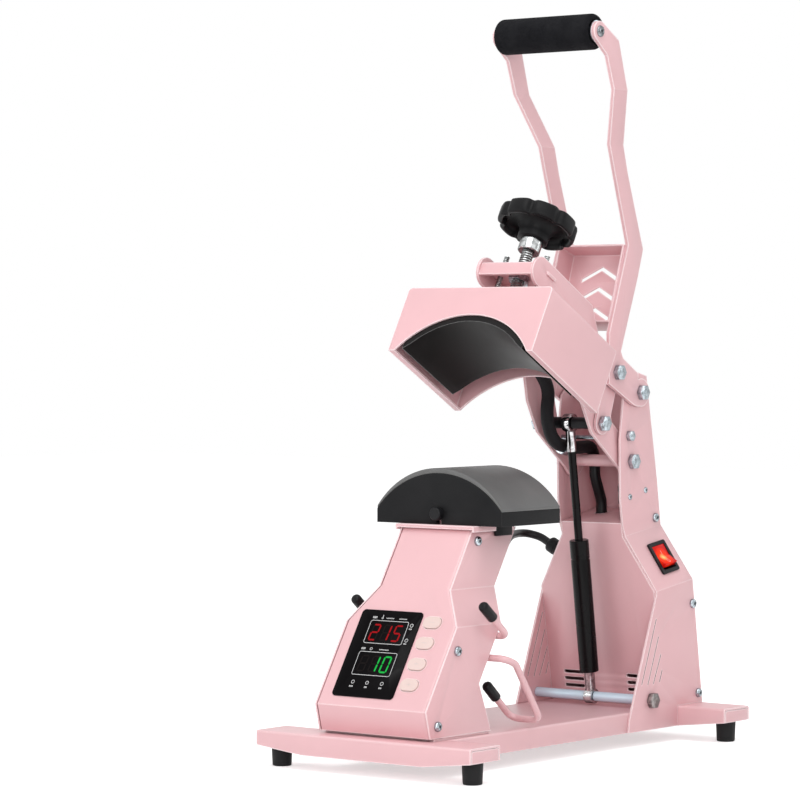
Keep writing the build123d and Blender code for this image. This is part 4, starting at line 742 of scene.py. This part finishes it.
lights = bmesh.new()
for figures, up, index in (("215", 68.9, 1), (" 10", 36.4, 2)):
    for figure, x in zip(figures, DIGIT_PLACES):
        digit(lights, figure, x, up, index)
segments = show_shape(lights, "display_segments", "base", dim_light)
segments.data.materials.append(red_light)
segments.data.materials.append(green_light)


# ---- keys ----------------------------------------------------
# Four oblong keys moulded in pale pink plastic, each with a small raised mark.  They stand a little
# out of the front cover and press straight in.
key_plastic = grained("key_plastic", (0.80, 0.575, 0.560), 0.40, (1400.0, 200.0, 0.4), 0.12,
                      ((0.760, 0.600, 0.560), (0.725, 0.560, 0.520)), (0.34, 0.46))
key_mark = grained("key_mark", (0.68, 0.56, 0.53), 0.5, (1400.0, 200.0, 0.4), 0.12)
STROKE = [(3.0, 0.4)]           # a mark's strokes, by their half widths and half heights
CROSS = [(2.4, 0.4), (0.4, 1.5)]
KEY_MARKS = {1: STROKE, 2: STROKE, 3: CROSS, 4: CROSS}
KEY_EDGE = 0.0011
FRONT_OUT = Vector((0.0, -math.cos(BOX_LEAN), math.sin(BOX_LEAN)))
FRONT_UP = Vector((0.0, math.sin(BOX_LEAN), math.cos(BOX_LEAN)))
MARK_LIFT = 0.00008             # the marks stand this far out of a key, and go this deep
MARK_DEPTH = 0.0003
for number, strokes in KEY_MARKS.items():
    key = rounded(f"button_{number}", KEY_EDGE, key_plastic, MOULDED)
    key_top = max(point.co.dot(FRONT_OUT) for point in key.data.vertices)
    middle = sum((point.co for point in key.data.vertices), Vector()) / len(key.data.vertices)
    face_middle = middle + FRONT_OUT * (key_top - middle.dot(FRONT_OUT) + MARK_LIFT)
    marks = bmesh.new()
    for half_width, half_height in strokes:
        sides = [(-half_width, -half_height), (half_width, -half_height), (half_width, half_height),
                 (-half_width, half_height)]
        top = [face_middle + (Vector((1, 0, 0)) * x + FRONT_UP * up) / 1000 for x, up in sides]
        thin_patch(marks, top, [corner - FRONT_OUT * MARK_DEPTH for corner in top])
    show_shape(marks, f"key_mark_{number}", body_of_node(f"button_{number}"), key_mark)


# ---- controller board ----------------------------------------
# The green glass fibre board behind the display, with its relays.  Stand-offs hold it off the box's
# front cover.
board_green, board_shader = new_finish("board_green", (0.03, 0.16, 0.06), 0.45)
board_grain = place_group(board_green, COAT_GRAIN, Grain=1200.0, Ripple=400.0, Ripple_Share=0.8)
tint(board_green, board_shader.inputs["Base Color"], board_grain.outputs["Height"],
     (0.02, 0.13, 0.05), (0.05, 0.22, 0.09), (0.5, 1.2))
emboss(board_green, board_shader, board_grain.outputs["Height"], 0.2)
paint("controller_board", board_green)


# ---- lower platen --------------------------------------------
# A powder coated seat on the box, a hollow black casting with a round top that lifts off it, a grey
# silicone pad glued to the casting, and a small locking knob at the front.
rounded("platen_seat", 0.0006, powder_coat)
# the casting's edges get a painted highlight
casting = grained("black_casting", (0.022, 0.022, 0.023), 0.55, (1500.0, 380.0, 0.8), 0.30,
                  ((0.009, 0.009, 0.010), (0.017, 0.017, 0.018)), (0.44, 0.60), 0.10,
                  edge_highlight=(0.0012, 1.6, (0.060, 0.060, 0.061), (0.2, 1.0)))
rounded("platen_base", 0.0010, casting)
# the pad's edges get a painted highlight
silicone = grained("grey_silicone", (0.145, 0.145, 0.145), 0.48, (2200.0, 600.0, 0.5), 0.22,
                   ((0.118, 0.118, 0.117), (0.098, 0.098, 0.098)), (0.42, 0.54),
                   edge_highlight=(0.0012, 1.6, (0.230, 0.230, 0.228), (0.2, 1.0)))
rounded("silicone_pad", 0.0009, silicone)
rounded("platen_knob", 0.0004, black_plastic, MOULDED)


# ---- cap wires -----------------------------------------------
# Two bent and coated steel wires that hold a cap's edge, hung in saddles on the box's rear panel, with
# black caps on their tips.
for wire in ("upper_wire", "lower_wire", "wire_clips"):
    paint(wire, powder_coat)
tip_rubber = grained("tip_rubber", (0.012, 0.012, 0.013), 0.30, (1300.0, 150.0, 0.5), 0.12,
                     ((0.004, 0.004, 0.005), (0.012, 0.012, 0.014)), (0.24, 0.38), 0.15)
for tips in ("upper_wire_tips", "lower_wire_tips"):
    rounded(tips, 0.0009, tip_rubber, MOULDED)


# ---- arm -----------------------------------------------------
# Two laser cut plates, joined by a cross plate with tabs at the front and by the pivot tube at the
# back, all powder coated.  They hang on a zinc plated bolt, and another carries the gas spring's eye
# between two black spacers.
HEX = 20.0                      # hex heads are rounded from this angle up
for plate in ("arm_left", "arm_right", "arm_cross_plate"):
    rounded(plate, 0.0006, powder_coat)
paint("arm_tube", powder_coat)
rounded("lift_nut", 0.0005, zinc, HEX)
rounded("eye_bolt", 0.0005, zinc, HEX)
frame_bolts = rounded("frame_bolts", 0.0005, zinc, HEX)
dull_steel = make_bright_metal("dull_steel", (0.30, 0.28, 0.275), 0.42, 0.06, 0.6)
FOOT_BOLT_TOP = 0.080           # the strut's foot bolt is plainer than the bolts above it
dress_part(frame_bolts, dull_steel, lambda face: face.center.z < FOOT_BOLT_TOP)
rounded("eye_spacers", 0.0004, black_plastic, MOULDED)


# ---- wiring --------------------------------------------------
# The head's wiring, in a black braided sleeve along the arm that slides over the fixed bundle at the
# pivot.  A steel clip ring sits on it, and a steel cross pin spans the arm's plates.
braid, braid_shader = new_finish("braided_sleeve", (0.012, 0.012, 0.013), 0.62)
braid_place = braid.node_tree.nodes.new("ShaderNodeTexCoord").outputs["Object"]
braid_wave = braid.node_tree.nodes.new("ShaderNodeTexWave")
braid_wave.wave_type = "BANDS"
braid_wave.bands_direction = "DIAGONAL"
braid_wave.inputs["Scale"].default_value = 420.0
braid_wave.inputs["Distortion"].default_value = 1.2
braid.node_tree.links.new(braid_place, braid_wave.inputs["Vector"])
tint(braid, braid_shader.inputs["Base Color"], braid_wave.outputs["Fac"],
     (0.003, 0.003, 0.004), (0.012, 0.012, 0.014), (0.2, 0.9))
braid_shader.inputs["Specular IOR Level"].default_value = 0.2
emboss(braid, braid_shader, braid_wave.outputs["Fac"], 0.35)
paint("harness_sleeve", braid)
paint("harness_bundle", cable_jacket)
CLIP_PLACE = (-16.0, 343.0, 292.6)
CLIP_SLOPE = math.radians(-13.0)
sleeve_clip = bmesh.new()
lathe(sleeve_clip, [(0.0065, -0.0045), (0.0079, -0.0045), (0.0083, -0.0040), (0.0083, 0.0040),
                    (0.0079, 0.0045), (0.0065, 0.0045)],
      Matrix.Translation(bench(*CLIP_PLACE)) @ Matrix.Rotation(math.pi / 2 + CLIP_SLOPE, 4, "X"))
show_shape(sleeve_clip, "sleeve_clip", "arm", zinc)
cross_pin = bmesh.new()
PIN_PLACE = (0.0, 360.6, 301.6)
lathe(cross_pin, [(0.0, -0.0335), (0.0016, -0.0335), (0.0020, -0.0331), (0.0020, 0.0331),
                  (0.0016, 0.0335), (0.0, 0.0335)],
      Matrix.Translation(bench(*PIN_PLACE)) @ Matrix.Rotation(math.pi / 2, 4, "Y"))
show_shape(cross_pin, "cross_pin", "arm", zinc)


# ---- links and handle ----------------------------------------
# Two flat steel links, and two cranked bars joined by a tray with chevron slots and by the grip's
# tube.  The tube is held by a pan head screw at each end.
for plate in ("link_left", "link_right"):
    rounded(plate, 0.0006, powder_coat)
for bar in ("handle_left", "handle_right"):
    rounded(bar, 0.0009, powder_coat, bend=FOLD)
rounded("handle_tray", 0.0006, powder_coat)
rounded("handle_bolts", 0.0005, zinc, HEX)
paint("grip_tube", zinc)
GRIP_END = (61.0, 293.8, 696.2) # where the right grip screw meets its bar
GRIP_HEAD = 0.0056
GRIP_DOME = 0.0022
dull_zinc = make_bright_metal("dull_zinc", (0.27, 0.29, 0.31), 0.26, 0.08, 0.40, 0.50)
grip_heads = bmesh.new()
for side in (1, -1):
    head_place = Matrix.Translation(bench(side * GRIP_END[0], *GRIP_END[1:])) @ facing(side)
    pan_head(grip_heads, head_place, GRIP_HEAD, GRIP_DOME)
grip_set = show_shape(grip_heads, "grip_screw_heads", body_of_node("grip_screws"), dull_zinc)
grip_set.data.materials.append(recess_painted_shadow)
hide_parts("grip_screws")


# ---- foam grip -----------------------------------------------
# A black closed cell foam sleeve with rounded ends, its skin marked by fine pores.  It is pushed onto
# the grip's tube.
foam, foam_shader = new_finish("grip_foam", (0.013, 0.013, 0.015), 0.85)
foam_tree = foam.node_tree
foam_place = foam_tree.nodes.new("ShaderNodeTexCoord").outputs["Object"]
pores = foam_tree.nodes.new("ShaderNodeTexVoronoi")
pores.inputs["Scale"].default_value = 1150.0
foam_tree.links.new(foam_place, pores.inputs["Vector"])
foam_grain = place_group(foam, COAT_GRAIN, Grain=1800.0, Ripple=300.0, Ripple_Share=0.9)
foam_height = math_node(foam_tree, "ADD", pores.outputs["Distance"], foam_grain.outputs["Height"])
foam_skin = tint(foam, None, foam_height, (0.002, 0.002, 0.003), (0.010, 0.010, 0.012), (0.6, 1.7))
foam_wear = noise_node(foam_tree, foam_place, 55.0, 3.0, 0.6)
tint(foam, foam_shader.inputs["Base Color"], foam_wear, foam_skin, (0.013, 0.013, 0.015), (0.42, 0.66))
emboss(foam, foam_shader, foam_height, 0.6, 0.0004)
foam_shader.inputs["Specular IOR Level"].default_value = 0.08
rounded("foam_grip", 0.0022, foam, 60.0)


# ---- head ----------------------------------------------------
# A folded and powder coated cover with arched front and rear, and the curved heating plate, a dark
# coated casting, hung inside it.
rounded("head_cover", 0.0007, powder_coat)
# the heating plate's edges get a painted highlight, the thin light line along its rim
heater_black = grained("heater_coating", (0.006, 0.005, 0.005), 0.40, (1500.0, 240.0, 0.8), 0.15,
                       ((0.0050, 0.0042, 0.0042), (0.0100, 0.0088, 0.0088)), (0.34, 0.48), 0.16,
                       edge_highlight=(0.0011, 1.8, (0.300, 0.300, 0.300), (0.35, 1.0)))
heater = rounded("heating_plate", 0.0010, heater_black)
HEAD_DOWN = Vector((0.0, -0.492424, -0.870356))
HEATER_RIM = 0.008              # the plate's lowest part, which is squeezed up into the cover
HEATER_TUCK = 0.003             # by at most this much
heater_low = max(point.co.dot(HEAD_DOWN) for point in heater.data.vertices)
for point in heater.data.vertices:
    above = heater_low - point.co.dot(HEAD_DOWN)
    if above < HEATER_RIM:
        point.co -= HEAD_DOWN * HEATER_TUCK * (1 - above / HEATER_RIM)


# ---- pressure screw, guide rods and knob ---------------------
# A turned and threaded steel screw with two collars, two threaded rods clamped to the cover by nuts, and
# a moulded knob with rounded lobes, hollow underneath around its tapered hub.
SCREW_LEAN = math.radians(-29.5)
SCREW_LOW = -69.9               # the thread runs between these heights over the screw's mark
SCREW_HIGH = -4.0
SCREW_PITCH = 0.0025
ROD_PITCH = 0.0018
ROD_X = 24.0
ROD_Y = 1.0
ROD_LOW = -105.4
ROD_HIGH = -8.7
NUT_CORNER = 5.77
NUT_SEATS = (-78.5, -72.0)
NUT_HEIGHT = 4.5
screw_mark = Vector(joint_of("pressure_screw")["pos_m"])
screw_stand = Matrix.Translation(screw_mark) @ Matrix.Rotation(SCREW_LEAN, 4, "X")
bright_zinc = make_bright_metal("bright_zinc", (0.60, 0.62, 0.62), 0.14, 0.05, 0.35, 0.16)
thread_shade = make_bright_metal("thread_shade", (0.16, 0.17, 0.17), 0.30, 0.06, 0.8)
knob_plastic = grained("knob_plastic", (0.012, 0.012, 0.013), 0.46, (1400.0, 320.0, 0.5), 0.30,
                       ((0.0045, 0.0045, 0.0050), (0.0085, 0.0085, 0.0095)), (0.38, 0.52), 0.14)


def threaded(shape, turn, crest, root, low, high, pitch, segments):
    """A screw thread between two heights on the local Z axis; its flanks take the second finish."""
    count = int((high - low) / pitch * segments)
    rows = []
    for step in range(count + 1):
        angle = 2 * math.pi * step / segments
        height = low + pitch * step / segments
        rows.append([shape.verts.new(turn @ Vector((radius * math.cos(angle), radius * math.sin(angle),
                                                    up)))
                     for radius, up in ((root, height), (crest, height + 0.42 * pitch),
                                        (crest, height + 0.72 * pitch))])
    for step in range(count):
        here, after = rows[step], rows[step + 1]
        strips = [(here[0], after[0], after[1], here[1]), (here[1], after[1], after[2], here[2])]
        if step + segments < count:
            above, beyond = rows[step + segments], rows[step + segments + 1]
            strips.append((here[2], after[2], beyond[0], above[0]))
        for corners, index in zip(strips, (1, 0, 1)):
            shape.faces.new(corners).material_index = index


def turned(shape, profile, turn, segments=40):
    """A lathe profile written in millimetres."""
    lathe(shape, [(radius / 1000, height / 1000) for radius, height in profile], turn, segments)


screw_shape = bmesh.new()
turned(screw_shape, [(0, -78.1), (8.0, -78.1), (8.5, -77.6), (8.5, -74.6), (8.0, -74.1), (4.9, -74.1),
                     (4.9, -71.9), (8.0, -71.9), (8.5, -71.5), (8.5, -70.3), (8.0, -69.9), (5.3, -69.9),
                     (5.15, -69.0), (5.15, -4.6), (5.3, -4.0), (10.2, -4.0), (11.0, -3.2), (11.0, 8.2),
                     (10.2, 9.0), (5.9, 9.0), (5.9, 23.6), (5.5, 24.0), (0, 24.0)], screw_stand)
threaded(screw_shape, screw_stand, 0.0060, 0.0051, SCREW_LOW / 1000, SCREW_HIGH / 1000, SCREW_PITCH, 24)
screw = show_shape(screw_shape, "pressure_screw_threaded", body_of_node("pressure_screw"),
                   bright_zinc)
screw.data.materials.append(thread_shade)
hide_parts("pressure_screw")

rod_shape = bmesh.new()
for side in (1, -1):
    rod_stand = screw_stand @ Matrix.Translation(Vector((side * ROD_X, ROD_Y, 0.0)) / 1000)
    turned(rod_shape, [(0, ROD_LOW), (2.7, ROD_LOW), (2.7, NUT_SEATS[1] + NUT_HEIGHT), (2.3, -67.2),
                       (2.3, ROD_HIGH - 0.5), (1.9, ROD_HIGH), (0, ROD_HIGH)], rod_stand, 20)
    threaded(rod_shape, rod_stand, 0.0027, 0.0022, -0.0672, (ROD_HIGH - 0.6) / 1000, ROD_PITCH, 16)
    for seat in NUT_SEATS:
        turned(rod_shape, [(2.6, seat), (NUT_CORNER * 0.92, seat), (NUT_CORNER, seat + 0.4),
                           (NUT_CORNER, seat + NUT_HEIGHT - 0.4), (NUT_CORNER * 0.92, seat + NUT_HEIGHT),
                           (2.6, seat + NUT_HEIGHT)], rod_stand, 6)
rods = show_shape(rod_shape, "guide_rods_threaded", body_of_node("guide_rods"), bright_zinc)
rods.data.materials.append(thread_shade)
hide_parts("guide_rods")

KNOB_LOBES = 8
KNOB_STEPS = KNOB_LOBES * 18
KNOB_HOLLOW = 3.2               # the hollows between the lobes are this deep
HOLLOW_WIDTH = 0.115            # and this wide, as a share of a lobe
KNOB_PROFILE = [(6.0, 9.0, 0), (14.2, 9.0, 0), (15.0, 9.8, 0), (15.2, 16.0, 0), (16.2, 20.0, 0),
                (18.6, 24.0, 0), (23.0, 27.4, 0), (29.0, 28.8, 0.1), (32.0, 27.6, 0.4), (33.2, 24.0, 0.7),
                (33.8, 21.0, 0.9), (34.8, 20.1, 1), (36.6, 20.0, 1), (38.2, 20.7, 1), (38.9, 22.4, 1),
                (39.0, 27.0, 1), (38.9, 32.6, 1), (38.3, 34.8, 1), (36.8, 35.9, 1), (34.0, 36.0, 0.8),
                (17.0, 36.0, 0), (15.6, 35.8, 0), (15.0, 35.0, 0), (0, 35.0, 0)]


def knob_reach(radius, share, angle):
    """The knob's radius at an angle: broad lobes with narrow rounded hollows between them."""
    place = (angle * KNOB_LOBES / (2 * math.pi)) % 1.0
    depth = math.exp(-((place - 0.5) / HOLLOW_WIDTH) ** 2)
    return radius - share * KNOB_HOLLOW * depth


knob_shape = bmesh.new()
knob_rings = []
for radius, height, share in KNOB_PROFILE:
    ring_points = []
    for step in range(KNOB_STEPS):
        angle = 2 * math.pi * step / KNOB_STEPS
        reach = max(0.05, knob_reach(radius, share, angle))
        place = Vector((reach * math.cos(angle), reach * math.sin(angle), height)) / 1000
        ring_points.append(knob_shape.verts.new(screw_stand @ place))
    knob_rings.append(ring_points)
join_rings(knob_shape, knob_rings)
knob_shape.faces.new(knob_rings[-1])
knob = show_shape(knob_shape, "pressure_knob_moulded", body_of_node("pressure_knob"),
                  knob_plastic, 50.0)
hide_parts("pressure_knob")


# ---- gas spring ----------------------------------------------
# A gas strut: a black painted tube and a rod, with bright metal end fittings.  The foot eye turns on a
# bolt between two pale blue zinc plated sleeves.
strut_paint = grained("strut_paint", (0.010, 0.010, 0.011), 0.24, (1200.0, 70.0, 0.6), 0.06,
                      ((0.003, 0.0025, 0.003), (0.006, 0.0055, 0.006)), (0.20, 0.32), 0.10)
strut_shader = strut_paint.node_tree.nodes["Principled BSDF"]
strut_shader.inputs["Coat Weight"].default_value = 0.05
strut_shader.inputs["Coat Roughness"].default_value = 0.06
chrome = make_bright_metal("strut_chrome", (0.56, 0.55, 0.56), 0.12, 0.05, 0.30, 0.14)
FOOT_NECK = 0.0247              # the foot's chromed neck reaches this far along the strut
ROD_NECK = 0.2475               # and the rod's black part ends here
strut_foot = Vector(joint_of("gas_cylinder")["pos_m"])
strut_axis = Vector(joint_of("gas_rod")["axis"])
cylinder = rounded("gas_cylinder", 0.0005, strut_paint, MOULDED)
dress_part(cylinder, chrome, lambda face: (face.center - strut_foot).dot(strut_axis) < FOOT_NECK)
rod = rounded("gas_rod", 0.0004, strut_paint, MOULDED)
dress_part(rod, chrome, lambda face: (face.center - strut_foot).dot(strut_axis) > ROD_NECK)
pale_zinc = grained("pale_blue_sleeve", (0.60, 0.74, 0.84), 0.32, (900.0, 120.0, 0.5), 0.06,
                    ((0.64, 0.78, 0.88), (0.55, 0.70, 0.81)), metallic=0.10)
rounded("foot_tubes", 0.0003, pale_zinc, MOULDED)


# ---- studio --------------------------------------------------
# A white floor that keeps the shadow, and a white surround that metal also reflects.  Four large soft
# lamps light the press, and the camera has a long lens.
WHITE = (1.0, 1.0, 1.0, 1.0)
FILL_GREY = (0.56, 0.56, 0.56, 1.0)
FLOOR_GREY = (0.90, 0.90, 0.90, 1.0)
FLOOR_GLOW = 0.55               # lifts the floor to white where the camera sees it unshaded
LAMPS = [("key_lamp", (-1.9, -2.6, 1.1), (0.0, 0.0, 0.35), 1.4, 1.2, 14.0),
         ("front_lamp", (1.9, -2.4, 1.2), (0.0, 0.0, 0.25), 1.4, 1.2, 25.0),
         ("side_lamp", (2.2, 2.3, 1.3), (0.0, 0.0, 0.35), 1.2, 1.2, 6.0),
         ("top_lamp", (0.5, -0.9, 2.7), (0.0, 0.0, 0.3), 2.0, 2.0, 34.0)]
CAMERA_LENS = 154.2
CAMERA_PLACE = (1.9512, -2.6634, 0.4036)
CAMERA_LOOKS = (-0.6166, 0.7871, -0.0191)
floor_mesh = bpy.data.meshes.new("floor")
floor_mesh.from_pydata([(-6, -6, 0), (6, -6, 0), (6, 6, 0), (-6, 6, 0)], [], [(0, 1, 2, 3)])
floor = bpy.data.objects.new("floor", floor_mesh)
bpy.context.scene.collection.objects.link(floor)
floor_white = bpy.data.materials.new("floor_white")
floor_white.use_nodes = True
floor_tree = floor_white.node_tree
floor_shader = floor_tree.nodes["Principled BSDF"]
floor_shader.inputs["Base Color"].default_value = FLOOR_GREY
floor_shader.inputs["Roughness"].default_value = 0.9
floor_shader.inputs["Specular IOR Level"].default_value = 0.0
floor_path = floor_tree.nodes.new("ShaderNodeLightPath")
floor_seen = math_node(floor_tree, "ADD", floor_path.outputs["Is Camera Ray"],
                       floor_path.outputs["Is Glossy Ray"], True)
floor_seen = math_node(floor_tree, "MULTIPLY", floor_seen, FLOOR_GLOW)
floor_shader.inputs["Emission Color"].default_value = WHITE
floor_tree.links.new(floor_seen, floor_shader.inputs["Emission Strength"])
floor_mesh.materials.append(floor_white)

world = bpy.data.worlds.new("studio")
bpy.context.scene.world = world
world.use_nodes = True
sky = world.node_tree
sky.nodes.clear()
sky_out = sky.nodes.new("ShaderNodeOutputWorld")
seen_white = sky.nodes.new("ShaderNodeBackground")
seen_white.inputs["Color"].default_value = WHITE
fill_light = sky.nodes.new("ShaderNodeBackground")
fill_light.inputs["Color"].default_value = FILL_GREY
sky_path = sky.nodes.new("ShaderNodeLightPath")
sky_seen = math_node(sky, "ADD", sky_path.outputs["Is Camera Ray"], sky_path.outputs["Is Transmission Ray"])
sky_seen = math_node(sky, "ADD", sky_seen, sky_path.outputs["Is Glossy Ray"], True)
sky_mix = sky.nodes.new("ShaderNodeMixShader")
sky.links.new(sky_seen, sky_mix.inputs[0])
sky.links.new(fill_light.outputs[0], sky_mix.inputs[1])
sky.links.new(seen_white.outputs[0], sky_mix.inputs[2])
sky.links.new(sky_mix.outputs[0], sky_out.inputs["Surface"])


def aimed(name, data, place, looks):
    """A lamp or camera at a place, looking in a direction."""
    holder = bpy.data.objects.new(name, data)
    bpy.context.scene.collection.objects.link(holder)
    holder.location = place
    holder.rotation_euler = Vector(looks).to_track_quat("-Z", "Y").to_euler()
    return holder


for name, place, target, width, height, power in LAMPS:
    lamp = bpy.data.lights.new(name, "AREA")
    lamp.shape = "RECTANGLE"
    lamp.size = width
    lamp.size_y = height
    lamp.energy = power
    aimed(name, lamp, place, Vector(target) - Vector(place))

camera = bpy.data.cameras.new("camera")
camera.lens = CAMERA_LENS
camera.sensor_width = 36.0
bpy.context.scene.camera = aimed("camera", camera, CAMERA_PLACE, CAMERA_LOOKS)
bpy.context.scene.view_settings.view_transform = "Standard"
